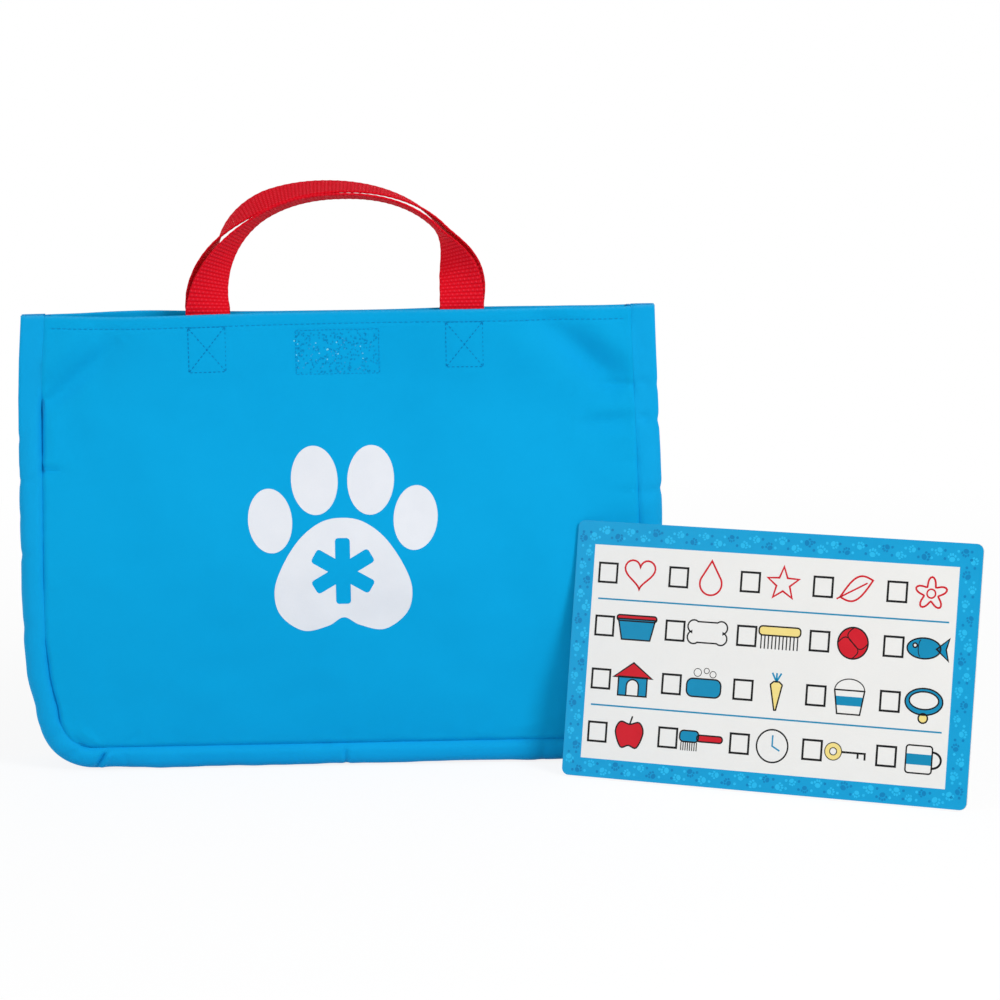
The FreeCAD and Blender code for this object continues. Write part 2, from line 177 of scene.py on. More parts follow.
CREASES = {
    FRONT: [
        (-171, 201, -122, 246, 5.5, -3.2), (-174, 221, -138, 255, 8, 2.4), (-139, 217, -118, 250, 8, -1.2),
        (-180, 174, -150, 172, 2, -1.7), (-180, 179, -152, 177, 3, 0.8), (-159, 176, -159, 211, 5, 1.4),
        (-150, 178, -140, 202, 7, -0.8), (88, 152, 110, 24, 18, -3.4), (112, 256, 160, 210, 8, -4.4),
        (135, 259, 175, 221, 9, 3.0), (96, 246, 130, 208, 11, 1.2), (140, 214.5, 180, 213, 2.2, -1.3),
        (132, 191.2, 164, 193.6, 4.6, -2.0), (140, 200.5, 178, 202, 4, 1.2), (146, 184, 176, 186, 4, 0.8),
        (146, 154, 180, 155, 2.4, -1.2), (151, 170, 178, 172, 2.4, -0.6), (100, 176, 150, 150, 12, -0.8),
        (-156, 26, -140, 14, 2.4, 0.9), (-160, 22, -146, 10, 1.8, -1.0), (-128, 12, -118, 24, 2.2, -0.5),
        (-100, 10, -96, 26, 2.6, -0.4), (0, 8, 2, 24, 2.2, -0.6), (60, 10, 56, 24, 2.4, -0.4),
        (-40, 252, 40, 250, 5, 0.35), (-60, 217, 60, 214, 7, 0.6), (-106, 214, -52, 206, 9, 0.6),
    ],
    BACK: [
        (-174, 214, -112, 250, 7, -2.0), (-170, 226, -126, 256, 7, 1.4), (108, 254, 162, 205, 8, -2.4),
        (134, 258, 172, 224, 8, 1.4), (142, 186, 178, 188, 2.5, -1.2), (-178, 151, -144, 149, 2.4, -1.1),
        (-178, 196, -150, 194, 2.4, -0.8), (146, 128, 178, 130, 2.4, -0.7), (-120, 120, -60, 170, 14, 0.9),
        (40, 90, 110, 150, 16, -1.0), (146, 26, 158, 12, 2.2, -1.0), (-150, 24, -140, 12, 2.2, -0.9),
        (-60, 214, 60, 211, 7, 0.5),
    ],
}
SEEDS = {FRONT: 11, BACK: 47}
LEAN_X, LEAN_Z = 133.0, 126.0
# Stretches of the left seam that are drawn in deeper: a depth, and heights
# where it begins, is full, is still full and ends.
DEEP_SEAM = [(2.2, 163, 182, 198, 221), (0.6, 92, 112, 160, 178), (1.2, 20, 34, 60, 84)]


def relief(side, x, z):
    """How far the cloth stands out from the plain loft."""
    seed = SEEDS[side]
    inside = edge_distance(x, z)
    calm = 1 - 0.85 * smooth(196, 232, z) * smooth(112, 84, np.abs(x))
    loose = smooth(0, 40, inside) * calm
    out = 0.85 * loose * swell(seed, 92, x, z) + 0.28 * loose * swell(seed + 1, 34, x, z * 1.3)
    out += creased(CREASES[side], x, z)
    # puckers run in from the seams
    out += 0.24 * swell(seed + 2, 11, x, z) * np.exp(-np.maximum(inside, 0) / 6.0)
    # the webbing inside pushes the mouth out, and the sewing pulls the cloth in
    for tab_x in (-X_TAB, X_TAB):
        out += 0.45 * hump(x - tab_x, 17) * smooth(216, 226, z)
    sewn = np.minimum.reduce([to_line(line, x, z)[1] for line in SEWN_LINES])
    out -= 0.30 * hump(sewn, 1.2)
    # the cloth tucks in above the bottom seam and along the seams
    out -= 0.9 * np.exp(-np.maximum(z - BOTTOM, 0) / 6.0)
    deep = 0.72 + 0.6 * smooth(226, 130, z)
    if side == FRONT:
        # the cloth is flat where the card leans on it
        from_card = np.hypot(x - LEAN_X, z - LEAN_Z)
        out = out * smooth(10, 30, from_card) - 0.5 * hump(from_card, 12)
        for depth, low, full, still, high in DEEP_SEAM:
            deep = deep + depth * smooth(low, full, z) * smooth(high, still, z) * (x < 0)
    else:
        # the back stands away from the front beside one handle
        out += 3.0 * hump(x - 112, 42) * smooth(205, 255, z)
    return out - deep * np.clip(1 - inside / 3.0, 0, 1) ** 2


def skin(side, x, z):
    return half_depth(x, z) + relief(side, x, z)


def raised(side, x, z):
    """Height of the cloth: the top edge is not quite straight."""
    if side == FRONT:
        lift = 0.9 * smooth(120, 166, -x) - 0.5 * smooth(130, 166, x)
    else:
        lift = 1.4 * hump(x - 115, 45) - 0.8 * hump(x + 118, 45) + 0.4 * smooth(140, 166, x)
    lift = lift - 0.25 + 0.25 * swell(SEEDS[side] + 5, 80, x, 0 * x)
    return z + lift * smooth(234, 258, z)


# How far each sewn side stands outside the straight one, from the floor up.
SHIFT_Z = [0, 14, 25, 37, 48, 56, 75, 110, 145, 177, 194, 213, 235, 259]
SHIFT_LEFT = [-2.4, -3.2, -4.0, -3.2, -0.6, 0.8, 2.4, 2.2, 1.8, 1.6, 1.5, 1.2, 0.0, -2.0]
SHIFT_RIGHT = [-1.6, -2.0, -2.2, -1.0, 0.4, 1.4, 2.6, 3.2, 3.3, 3.0, 2.5, 2.0, 1.3, 0.7]


def settled(points):
    """The bag's sides are not quite straight."""
    x, z = points[..., 0], points[..., 2]
    shift = np.where(x < 0, -np.interp(z, SHIFT_Z, SHIFT_LEFT), np.interp(z, SHIFT_Z, SHIFT_RIGHT))
    moved = np.array(points, float)
    moved[..., 0] += shift * smooth(84, 166, np.abs(x))
    return moved


def place(side, x, out, z):
    """Points in the shared frame; the back is the front turned half round."""
    return settled(np.stack([-side * x, side * out, z], -1))


def on_skin(side, x, z, lift):
    return place(side, x, skin(side, x, z) + lift, raised(side, x, z))


# Mesh helpers

def add(name, data):
    """A new object in the scene."""
    obj = bpy.data.objects.new(name, data)
    bpy.context.scene.collection.objects.link(obj)
    return obj


def make(name, verts, faces, material, uv=None, wear_and_highlight=None, sharp=40.0):
    mesh = bpy.data.meshes.new(name)
    mesh.from_pydata((np.asarray(verts, float).reshape(-1, 3) * MM).tolist(), [], faces)
    mesh.polygons.foreach_set("use_smooth", [True] * len(mesh.polygons))
    if uv is not None:
        corner = np.zeros(len(mesh.loops), np.int32)
        mesh.loops.foreach_get("vertex_index", corner)
        flat = np.asarray(uv, float).reshape(-1, 2)[corner] * UV_SCALE
        mesh.uv_layers.new(name="UVMap").data.foreach_set("uv", flat.astype(np.float32).ravel())
    if wear_and_highlight is not None:
        layer = mesh.attributes.new("wear_and_highlight", "FLOAT", "POINT")
        layer.data.foreach_set("value", np.asarray(wear_and_highlight, np.float32).ravel())
    bm = bmesh.new()
    bm.from_mesh(mesh)
    bmesh.ops.recalc_face_normals(bm, faces=bm.faces)
    bm.to_mesh(mesh)
    bm.free()
    mesh.set_sharp_from_angle(angle=radians(sharp))
    mesh.materials.append(material)
    return add(name, mesh)


def grid_faces(rows, cols, start=0, wrap=False):
    span = cols if wrap else cols - 1
    return [(start + r * cols + c, start + r * cols + (c + 1) % cols,
             start + (r + 1) * cols + (c + 1) % cols, start + (r + 1) * cols + c)
            for r in range(rows - 1) for c in range(span)]


def make_sheet(name, outer, inner, material, uv, wear_and_highlight):
    """A closed sheet: an outer grid, an inner grid and the strip round their edges."""
    rows, cols = outer.shape[:2]
    n = rows * cols
    faces = grid_faces(rows, cols) + [f[::-1] for f in grid_faces(rows, cols, n)]
    rim = list(range(cols)) + [r * cols + cols - 1 for r in range(1, rows)]
    rim += [(rows - 1) * cols + c for c in range(cols - 2, -1, -1)]
    rim += [r * cols for r in range(rows - 2, 0, -1)]
    faces += [(a, n + a, n + b, b) for a, b in zip(rim, rim[1:] + rim[:1])]
    return make(name, np.stack([outer, inner]), faces, material, np.stack([uv, uv]), np.stack([wear_and_highlight, wear_and_highlight]))


def tube_faces(rows, cols):
    """A closed tube of rings, with a cap on each end."""
    caps = [tuple(range(cols))[::-1], tuple((rows - 1) * cols + c for c in range(cols))]
    return grid_faces(rows, cols, wrap=True) + caps


def spaced(stops):
    """Positions from (value, step) stops, with that step after each."""
    out = []
    for (a, step), (b, _) in zip(stops, stops[1:]):
        n = max(1, round((b - a) / step))
        out += [a + (b - a) * i / n for i in range(n)]
    return np.array(out + [stops[-1][0]])


def swept(stations, section):
    """Stations along a sweep and each column of its section, as grids."""
    columns = [np.tile(column, (len(stations), 1)) for column in np.array(section).T]
    return [np.tile(stations[:, None], (1, len(section)))] + columns


def finish_piece(obj, body, slot, *nodes):
    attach(obj, body)
    if nodes:
        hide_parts(*nodes)
    return obj


# Materials

def linear(*colour):
    """A shader's colour from red, green and blue of 255."""
    shares = [c / 255 for c in colour]
    return tuple(((c + 0.055) / 1.055) ** 2.4 if c > 0.0405 else c / 12.92 for c in shares) + (1.0,)


class Wiring:
    """Short ways to add and link the nodes of a tree."""

    def __init__(self, tree):
        self.tree = tree

    def fill(self, socket, value):
        if isinstance(value, bpy.types.NodeSocket):
            self.tree.links.new(value, socket)
        elif value is not None:
            socket.default_value = value

    def node(self, kind, *inputs, out=0, **settings):
        """An output of a new node; words with a capital are sockets, and others are settings."""
        node = self.tree.nodes.new(kind)
        sockets = {key: settings.pop(key) for key in list(settings) if key[0].isupper()}
        for key, value in settings.items():
            setattr(node, key, value)
        for key, value in [*enumerate(inputs), *sockets.items()]:
            self.fill(node.inputs[key], value)
        return node.outputs[out]

    def math(self, operation, *values):
        return self.node("ShaderNodeMath", *values, operation=operation)

    def times(self, a, b):
        return self.math("MULTIPLY", a, b)

    def times_add(self, a, b, c):
        return self.math("MULTIPLY_ADD", a, b, c)

    def total(self, a, a_share, b, b_share):
        return self.math("ADD", self.times(a, a_share), self.times(b, b_share))

    def ramp(self, value, low, high):
        return self.node("ShaderNodeMapRange", value, low, high, 0.0, 1.0)

    def seen(self):
        """1 for rays that come from the camera, a reflection or a clear surface."""
        path = self.tree.nodes.new("ShaderNodeLightPath").outputs
        bent = self.math("MAXIMUM", path["Is Glossy Ray"], path["Is Transmission Ray"])
        return self.math("MAXIMUM", path["Is Camera Ray"], bent)


class Paint(Wiring):
    """A material with a principled shader."""

    def __init__(self, name, **sockets):
        self.material = bpy.data.materials.new(name)
        self.material.use_nodes = True
        super().__init__(self.material.node_tree)
        self.shader = self.tree.nodes["Principled BSDF"]
        self.set(**sockets)

    def set(self, **sockets):
        for key, value in sockets.items():
            self.fill(self.shader.inputs[key.replace("_", " ")], value)

    def noise(self, where, scale, detail=3.0, rough=0.55):
        return self.node("ShaderNodeTexNoise", out="Fac", Vector=where, Scale=scale, Detail=detail,
                         Roughness=rough)

    def mix(self, amount, a, b):
        """The colour inputs of this node come after the ones for numbers and vectors."""
        return self.node("ShaderNodeMix", amount, None, None, None, None, None, a, b, out=2, data_type="RGBA")

    def uv_mm(self):
        """The map, and its two directions in millimetres."""
        uv = self.node("ShaderNodeUVMap", uv_map="UVMap")
        u, v = (self.math("DIVIDE", self.node("ShaderNodeSeparateXYZ", uv, out=i), UV_SCALE) for i in (0, 1))
        return uv, u, v

    def wave(self, value, pitch, shift=0.0):
        return self.math("SINE", self.times_add(value, tau / pitch, shift))

    def bump(self, height, distance, strength):
        self.set(Normal=self.node("ShaderNodeBump", Strength=strength, Distance=distance, Height=height))


# Pale blue painted along the rolled top edges: wear, and a painted highlight there.
WORN_HIGHLIGHT_BLUE = linear(126, 200, 238)


def cloth_paint(name, base, dark, light, pitch=0.62):
    """Fine plain-woven synthetic cloth."""
    p = Paint(name, Specular_IOR_Level=0.10, Specular_Tint=(0.25, 0.7, 1.0, 1.0))
    uv, u, v = p.uv_mm()
    weave = p.times(p.wave(u, pitch), p.wave(v, pitch))
    slub = p.noise(uv, 420.0, 2.0)
    cloud = p.noise(uv, 1.6, 4.0, 0.6)
    # the weave's raised threads are painted a little lighter, a faint painted highlight; slub and cloud are
    # the cloth's own tone
    tone = p.total(p.times_add(weave, 0.10, p.times_add(slub, 0.5, 0.25)), 0.55, cloud, 0.45)
    body = p.mix(0.5, p.mix(p.ramp(tone, 0.30, 0.72), linear(*dark), linear(*light)), linear(*base))
    # the attribute marks the top edges, painted paler in patches as wear and painted highlight
    wear_and_highlight_mask = p.node("ShaderNodeAttribute", attribute_name="wear_and_highlight", out=2)
    wear_and_highlight_mask = p.times(wear_and_highlight_mask, p.ramp(p.noise(uv, 60.0, 3.0), 0.3, 0.7))
    p.set(Base_Color=p.mix(wear_and_highlight_mask, body, WORN_HIGHLIGHT_BLUE), Roughness=p.times_add(slub, 0.22, 0.50))
    p.bump(p.times_add(weave, 0.5, p.times(slub, 0.8)), 0.00012, 0.55)
    return p.material


def webbing_paint(name, dark, painted_highlight, cloudy):
    """Ribbed webbing: staggered picks along the length, painted lighter where they stand up and darker
    between them, as painted highlight and painted shade.
    """
    p = Paint(name, Specular_IOR_Level=0.04, Specular_Tint=(1.0, 0.3, 0.3, 1.0))
    uv, u, v = p.uv_mm()
    stagger = p.times(p.math("ROUND", p.math("DIVIDE", u, PICK_WIDTH)), pi)
    pick = p.wave(v, PICK_PITCH, stagger)
    cord = p.math("ABSOLUTE", p.wave(u, 2 * PICK_WIDTH, pi / 2))
    dot = p.times(p.math("POWER", p.math("MAXIMUM", pick, 0.0), 2.0), cord)
    rib = p.math("ABSOLUTE", p.wave(v, PICK_PITCH))
    height = p.total(dot, 0.7, rib, 0.35)
    fibre = p.noise(p.node("ShaderNodeCombineXYZ", p.times(u, 5.0), p.times(v, 0.6), 0.0), 1.0, 2.0)
    # the colour follows the weave's height: painted highlight on the raised picks, painted shade between them
    tone = p.ramp(p.total(height, 0.75, fibre, 0.35), 0.15, 0.98)
    body = p.mix(tone, linear(*dark), linear(*painted_highlight))
    cloud = p.times(p.noise(uv, 3.0, 3.0), 0.45)
    p.set(Base_Color=p.mix(cloud, body, linear(*cloudy)), Roughness=p.times_add(fibre, 0.25, 0.55))
    p.bump(p.times_add(fibre, 0.25, height), 0.0005, 0.8)
    return p.material


def plain_paint(name, base, other, rough, scale, grain=0.00005, **sockets):
    """One colour with fine mottling and grain."""
    p = Paint(name, **sockets)
    where = p.node("ShaderNodeTexCoord", out=3)
    fine = p.noise(where, scale * 40.0, 2.0)
    cloud = p.noise(where, scale, 4.0, 0.6)
    mottled = p.mix(p.ramp(p.total(cloud, 0.6, fine, 0.4), 0.3, 0.7), linear(*base), linear(*other))
    p.set(Base_Color=mottled, Roughness=p.times_add(fine, 0.2, rough - 0.1))
    p.bump(fine, grain, 0.5)
    return p.material


def thread_paint(name, base, other):
    return plain_paint(name, base, other, 0.6, 900.0, 0.0001, Specular_IOR_Level=0.05)


def painted_glint_paint(name, base, painted_highlight):
    """Smooth thread with painted glints: its colour turns pale at a few places, a painted highlight."""
    p = Paint(name, Specular_IOR_Level=0.4)
    where = p.node("ShaderNodeTexCoord", out=3)
    # noise picks the spots that get the painted highlight colour
    spot = p.noise(where, 420.0, 1.0)
    painted_glints = p.mix(p.ramp(spot, 0.54, 0.64), linear(*base), linear(*painted_highlight))
    p.set(Base_Color=painted_glints, Roughness=p.times_add(spot, -0.2, 0.45))
    p.bump(p.noise(where, 2600.0, 2.0), 0.0001, 0.4)
    return p.material


def card_paint(name, base, other, scale=90.0, rough=0.42):
    """Print or film with a faint gloss."""
    return plain_paint(name, base, other, rough, scale, 0.00002, Coat_Weight=0.04, Coat_Roughness=0.15,
                       Specular_IOR_Level=0.12)


cloth = cloth_paint("tote_cloth", (7, 167, 226), (4, 157, 216), (12, 175, 234))
# the gusset's copy of the same cloth is painted a little lighter than the panels', painted light for a band
# that faces the lamps less
gusset_cloth_painted_lighter = cloth_paint("gusset_cloth_painted_lighter", (13, 167, 229), (8, 157, 219), (18, 175, 236))
tape = cloth_paint("binding_tape", (12, 140, 202), (6, 126, 188), (24, 152, 212), 1.3)
# the second colour is the painted highlight of the raised picks
webbing = webbing_paint("red_webbing", (212, 1, 19), (255, 54, 72), (231, 6, 34))
thread = thread_paint("blue_thread", (3, 132, 192), (12, 160, 218))
dark_thread = thread_paint("dark_thread", (2, 118, 180), (8, 138, 200))
# thread whose pale spots are painted highlights (painted glints)
thread_with_painted_glints = painted_glint_paint("glossy_thread_painted_glints", (10, 158, 216), (120, 226, 250))
hook_tape = plain_paint("hook_tape", (28, 140, 200), (52, 158, 212), 0.4, 300.0, Specular_IOR_Level=0.4)
loop_tape = plain_paint("loop_tape", (26, 136, 196), (56, 160, 212), 0.85, 400.0, 0.0002)
ink = plain_paint("print_ink", (226, 230, 237), (233, 236, 242), 0.55, 60.0, 0.00008, Specular_IOR_Level=0.25)
paper = card_paint("card_white", (240, 239, 236), (244, 243, 240), 40.0)
card_blue = card_paint("card_blue", (8, 158, 213), (14, 166, 220), 60.0)
card_light = card_paint("card_light_blue", (30, 184, 236), (44, 194, 243))
card_dark = card_paint("card_dark_blue", (0, 128, 186), (3, 137, 195))
art_red = card_paint("art_red", (206, 20, 38), (216, 30, 46))
art_blue = card_paint("art_blue", (8, 136, 180), (14, 146, 190))
art_yellow = card_paint("art_yellow", (246, 222, 130), (250, 230, 150))
art_black = card_paint("art_black", (9, 9, 11), (18, 18, 21))
film = card_paint("card_film", (12, 156, 210), (18, 164, 218), 40.0, 0.25)
back_film = card_paint("card_back_film", (236, 236, 236), (244, 244, 243), 30.0, 0.28)
board = plain_paint("card_core", (206, 204, 200), (226, 224, 220), 0.8, 400.0, 0.0001)


# Bag panels

def panel(side):
    us = spaced([(-1, 0.0045), (-0.96, 0.009), (-0.70, 0.0165), (0.66, 0.009), (0.96, 0.0045), (1, 0)])
    zs = spaced([(BOTTOM, 0.7), (BOTTOM + 6, 1.4), (40, 2.7), (150, 2.2), (208, 1.6), (248, 1.0), (257.6, 1)])
    # the top rolls over into the hem: extra rows give the inset and the height
    roll_in, roll_z = np.array([(0.08, 258.1), (0.33, 258.55), (0.70, 258.85), (1.10, 258.97)]).T
    inset = np.concatenate([0 * zs, roll_in])[:, None]
    rows = np.concatenate([zs, roll_z])[:, None]
    low = np.clip(BOTTOM + RADIUS - rows, 0, RADIUS)
    x = us[None, :] * (EDGE - RADIUS + np.sqrt(RADIUS ** 2 - low ** 2))
    z = np.broadcast_to(rows, x.shape)
    depth = skin(side, x, z)
    height = raised(side, x, z)
    outer = place(side, x, depth - inset, height)
    inner = place(side, x, depth - CLOTH - 0.1 * (inset > 0), np.minimum(height, height[len(zs) - 1] + 0.5))
    # the rolled top edge is painted paler: wear and painted highlight
    wear_and_highlight = 0.15 * smooth(257.2, 258.6, z)
    return make_sheet(WORD[side] + "_cloth", outer, inner, cloth, np.stack([x, z], -1), wear_and_highlight)


HEM_SECTION = [(1.12, 258.97), (1.5, 258.88), (1.95, 258.5), (2.2, 258.0), (2.25, 257.0), (2.25, 254.0),
               (2.25, 251.7), (2.12, 251.2), (1.75, 251.0), (1.4, 251.15), (1.22, 251.6), (1.2, 254.0),
               (1.2, 257.5), (1.12, 258.4)]


def hem(side):
    x, inset, z = swept(np.linspace(-163.0, 163.0, 190), HEM_SECTION)
    uv = np.stack([x, np.tile(lengths(HEM_SECTION), (len(x), 1))], -1)
    # the top of the hem fold is painted paler: wear and painted highlight
    wear_and_highlight = 0.15 * smooth(258.0, 258.9, z)
    return make(WORD[side] + "_hem_fold", on_skin(side, x, z, -inset), tube_faces(*x.shape), cloth, uv, wear_and_highlight)


cloths, hems = {}, {}
for side in (FRONT, BACK):
    cloths[side] = finish_piece(panel(side), BODY[side], "bag_cloth", WORD[side] + "_panel")
    hems[side] = finish_piece(hem(side), BODY[side], "bag_cloth", WORD[side] + "_hem")


# Gusset: one band from the left mouth, round the bottom, to the right mouth.
# s runs along the seam and y from the front to the back.

SIDE_RUN, ARC_RUN, LOW_RUN = TOP - SEAM_Z - CORNER, CORNER * pi / 2, 2 * (SEAM_X - CORNER)
S_MARKS = np.cumsum([SIDE_RUN, ARC_RUN, LOW_RUN, ARC_RUN, SIDE_RUN])


def seam_path(s):
    """Seam point (x, z) and the outward direction there."""
    from_middle = s - S_MARKS[4] / 2
    side, run = np.sign(from_middle), np.abs(from_middle)
    turn = np.clip((run - LOW_RUN / 2) / CORNER, 0, pi / 2)
    nx, nz = side * np.sin(turn), -np.cos(turn)
    x = side * np.minimum(run, LOW_RUN / 2) + CORNER * nx
    z = SEAM_Z + CORNER * (1 + nz) + np.maximum(run - LOW_RUN / 2 - ARC_RUN, 0)
    return x, z, nx, nz


# Creases of the band as (along, around, along, around, width, height). Those of
# the sides go by height, and the low ones by the way from one of the marks.
LEFT_CREASES = [
    (167.5, -40, 166, 10, 2.6, -1.3), (172, -36, 171, 6, 3.2, 0.8), (204, -24, 172, -24, 9, 0.9),
    (126, -34, 124, 2, 2.6, -0.7), (86, -30, 82, -10, 4, -0.6), (226, -30, 216, 20, 4, -0.8),
    (188, 32, 196, -2, 3, -1.0), (140, 34, 132, 0, 3, -0.8)]
RIGHT_CREASES = [
    (215.5, -40, 213, 8, 2.6, -1.6), (195, -40, 193, 6, 3.2, -2.0), (153, -38, 156, -8, 2.8, -1.4),
    (108, -34, 104, 4, 3, -0.7), (236, -32, 226, 22, 4, -0.8), (176, 30, 182, -4, 3, -0.9)]
LOW_CREASES = [
    [(8, -40, 12, -18, 2.2, -0.9)],
    [(-6, -40, -12, -20, 2, -1.2), (11, -40, 1, -19, 1.3, -2.6), (14, -40, 4, -19, 1.8, 1.5),
     (18, -34, 22, -18, 2.4, -0.6), (146, -38, 147, -15, 1.4, -1.4), (-8, 40, -14, 18, 2.2, -1.0)],
    [(-30, -36, -34, -16, 2.2, -0.7), (10, -38, 8, -16, 2.2, -1.1), (22, -36, 26, -16, 2.2, -0.9),
     (12, 40, 8, 18, 2.2, -1.0)]]
GUSSET_CREASES = []
for start, way, creases in [(TOP, -1, LEFT_CREASES), (S_MARKS[3] - SEAM_Z - CORNER, 1, RIGHT_CREASES)] + [
        (mark, 1, creases) for mark, creases in zip(S_MARKS, LOW_CREASES)]:
    GUSSET_CREASES += [(start + way * a, b, start + way * c, d, w, h) for a, b, c, d, w, h in creases]
# Small kinks in the outer fold: height, side and share drawn in.
KINKS = [(213, 1, 0.03), (193, 1, 0.04), (155, 1, 0.015), (190, -1, 0.035), (172, -1, 0.04), (147, -1, 0.02)]
SHUT_LINE = [(0, -MOUTH_END), (6, -4.25), (11.6, -4.0), (12.7, -3.75), (13.3, -3.25), (13.5, -2.7),
             (13.3, -2.15), (12.7, -1.75), (11.6, -1.6), (6, -1.35), (3.2, -1.1), (2.3, -0.7), (2.0, 0)]


def along_line(points, share):
    """Points at those shares of a line's length, and its length."""
    run = lengths(points)
    return between(share * run[-1], run, points), run[-1]


def gusset():
    s1, s2, s3, s4, s5 = S_MARKS
    ss = spaced([(0, 1.0), (6, 2.0), (s1, 1.3), (s2 - 6, 0.7), (s2 + 22, 2.0), (s2 + 138, 0.9),
                 (s2 + 156, 2.2), (s3, 1.3), (s4, 2.0), (s5 - 6, 1.0), (s5, 1)])
    share = np.concatenate([[0, 0.008, 0.02, 0.04, 0.065], np.linspace(0.09, 1, 31)])
    # half sections (out, y): the open band, and the pleat that it makes at the pinched mouth
    round_line = [(BULGE * sin(a) ** 0.7, -FLAT - (DEPTH - FLAT) * max(cos(a), 0) ** 0.7)
                  for a in np.radians(np.linspace(0, 90, 46))]
    wide, half_length = along_line(round_line + [(BULGE, 0)], share)
    shut, _ = along_line(SHUT_LINE, share)
    wide, shut = (np.concatenate([c, (c * [1, -1])[-2::-1]]) for c in (wide, shut))
    reach = np.concatenate([share, 2 - share[-2::-1]]) * half_length
    s, around = np.meshgrid(ss, reach - half_length, indexing="ij")
    from_seam = half_length - np.abs(around)
    x0, z0, nx, nz = seam_path(s)
    shutting = smooth(PINCH_LOW, PINCH_HIGH, z0)
    out, y = (wide[:, i] + (shut - wide)[:, i] * shutting for i in (0, 1))
    for z, x_side, pull in KINKS:
        out = out * (1 - pull * hump(z0 - z, 2.6) * (x0 * x_side > 0))
    d_out, d_y = np.gradient(out, axis=1), np.gradient(y, axis=1)
    size = np.hypot(d_out, d_y)
    loose = smooth(0, 12, from_seam) * (1 - 0.9 * shutting)
    height = 0.4 * loose * swell(71, 46, s, around) + 0.14 * loose * swell(72, 17, s, around * 0.6)
    free = smooth(0, 5, from_seam) * (1 - shutting * smooth(6, 14, from_seam))
    height += creased(GUSSET_CREASES, s, around) * free
    height += 0.1 * swell(73, 10, s, around) * np.exp(-from_seam / 5.0) * smooth(0, 3, from_seam)
    # at the seams the band follows the panels' edges
    edge = np.where(around < 0, relief(FRONT, x0, z0), relief(BACK, -x0, z0))
    edge = edge * np.clip(1 - from_seam / 4.5, 0, 1) ** 2
    lift = 1.0 * smooth(36, 0, s) - 0.4 * smooth(36, 0, s5 - s)

    def points(inset, floor):
        o = out + (height - inset) * d_y / size
        yy = y - (height - inset) * d_out / size + np.sign(y) * edge
        return settled(np.stack([x0 + nx * o, yy, np.maximum(z0 + nz * o + lift, floor)], -1))

    # the band's top ends are painted paler: wear and painted highlight
    wear_and_highlight = 0.2 * smooth(1.6, 0.4, np.minimum(s, s5 - s))
    # the band wears the gusset's copy of the cloth, painted a little lighter as painted light
    obj = make_sheet("gusset_cloth_painted_lighter", points(0, 0.0), points(CLOTH * (1 - 0.2 * shutting), 0.5), gusset_cloth_painted_lighter,
                     np.stack([around, s], -1), wear_and_highlight)
    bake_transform(obj)
    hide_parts("gusset_left", "gusset_right", "gusset_bottom")
    return obj


gusset_band = gusset()
TAPE_WIDTH = 8.0
TAPE_SECTION = [(0.2, 0.0), (1.0, -0.1), (1.8, 0.1), (2.0, 1.0), (1.75, 3.0), (1.9, 5.2), (1.75, 7.2),
                (1.3, 7.9), (0.7, 7.9), (0.25, 7.2), (0.1, 5.2), (0.25, 3.0), (0.0, 1.0)]


def binding(side):
    """Folded tape round the seam allowance inside the bag."""
    s1, s2, s3, s4, s5 = S_MARKS
    ss = spaced([(0.4, 2.4), (s1, 1.5), (s2, 2.6), (s3, 1.5), (s4, 2.4), (s5 - 0.4, 1)])
    s, inward, deep = swept(ss, TAPE_SECTION)
    wave = swell(81 + side, 16, s, 0 * s) * (deep / TAPE_WIDTH)
    x0, z0, nx, nz = seam_path(s)
    near = closing(DEPTH, MOUTH_END, z0) - CLOTH - 0.9
    narrow = np.minimum(near - 0.6, TAPE_WIDTH) / TAPE_WIDTH
    back = 0.3 + inward + 0.35 * (wave + 1) * smooth(0.3, 1.0, narrow)
    y = side * (near - narrow * deep * (1 - 0.05 * wave ** 2))
    points = settled(np.stack([x0 - nx * back, y, z0 - nz * back], -1))
    uv = np.stack([s, deep + 10 * inward], -1)
    return make(WORD[side] + "_binding_tape", points, tube_faces(*s.shape), tape, uv, 0 * s)


for side in (FRONT, BACK):
    finish_piece(binding(side), BODY[side], "seam_binding", WORD[side] + "_seam_binding")


# Stitches: each is a short round strand that dips into the cloth at its ends.
# The profile gives the place along it, the thickness and the lift.
STITCH_PROFILE = [(-0.5, 0.25, -0.30), (-0.42, 0.7, -0.02), (-0.2, 1.0, 0.08),
                  (0.2, 1.0, 0.08), (0.42, 0.7, -0.02), (0.5, 0.25, -0.30)]
STITCH_LIFT, STITCH_HIGH, STITCH_SHARE = 0.02, 0.2, 0.78
MARK_X, MARK_LOW, MARK_HIGH = 23.5, 223.5, 247


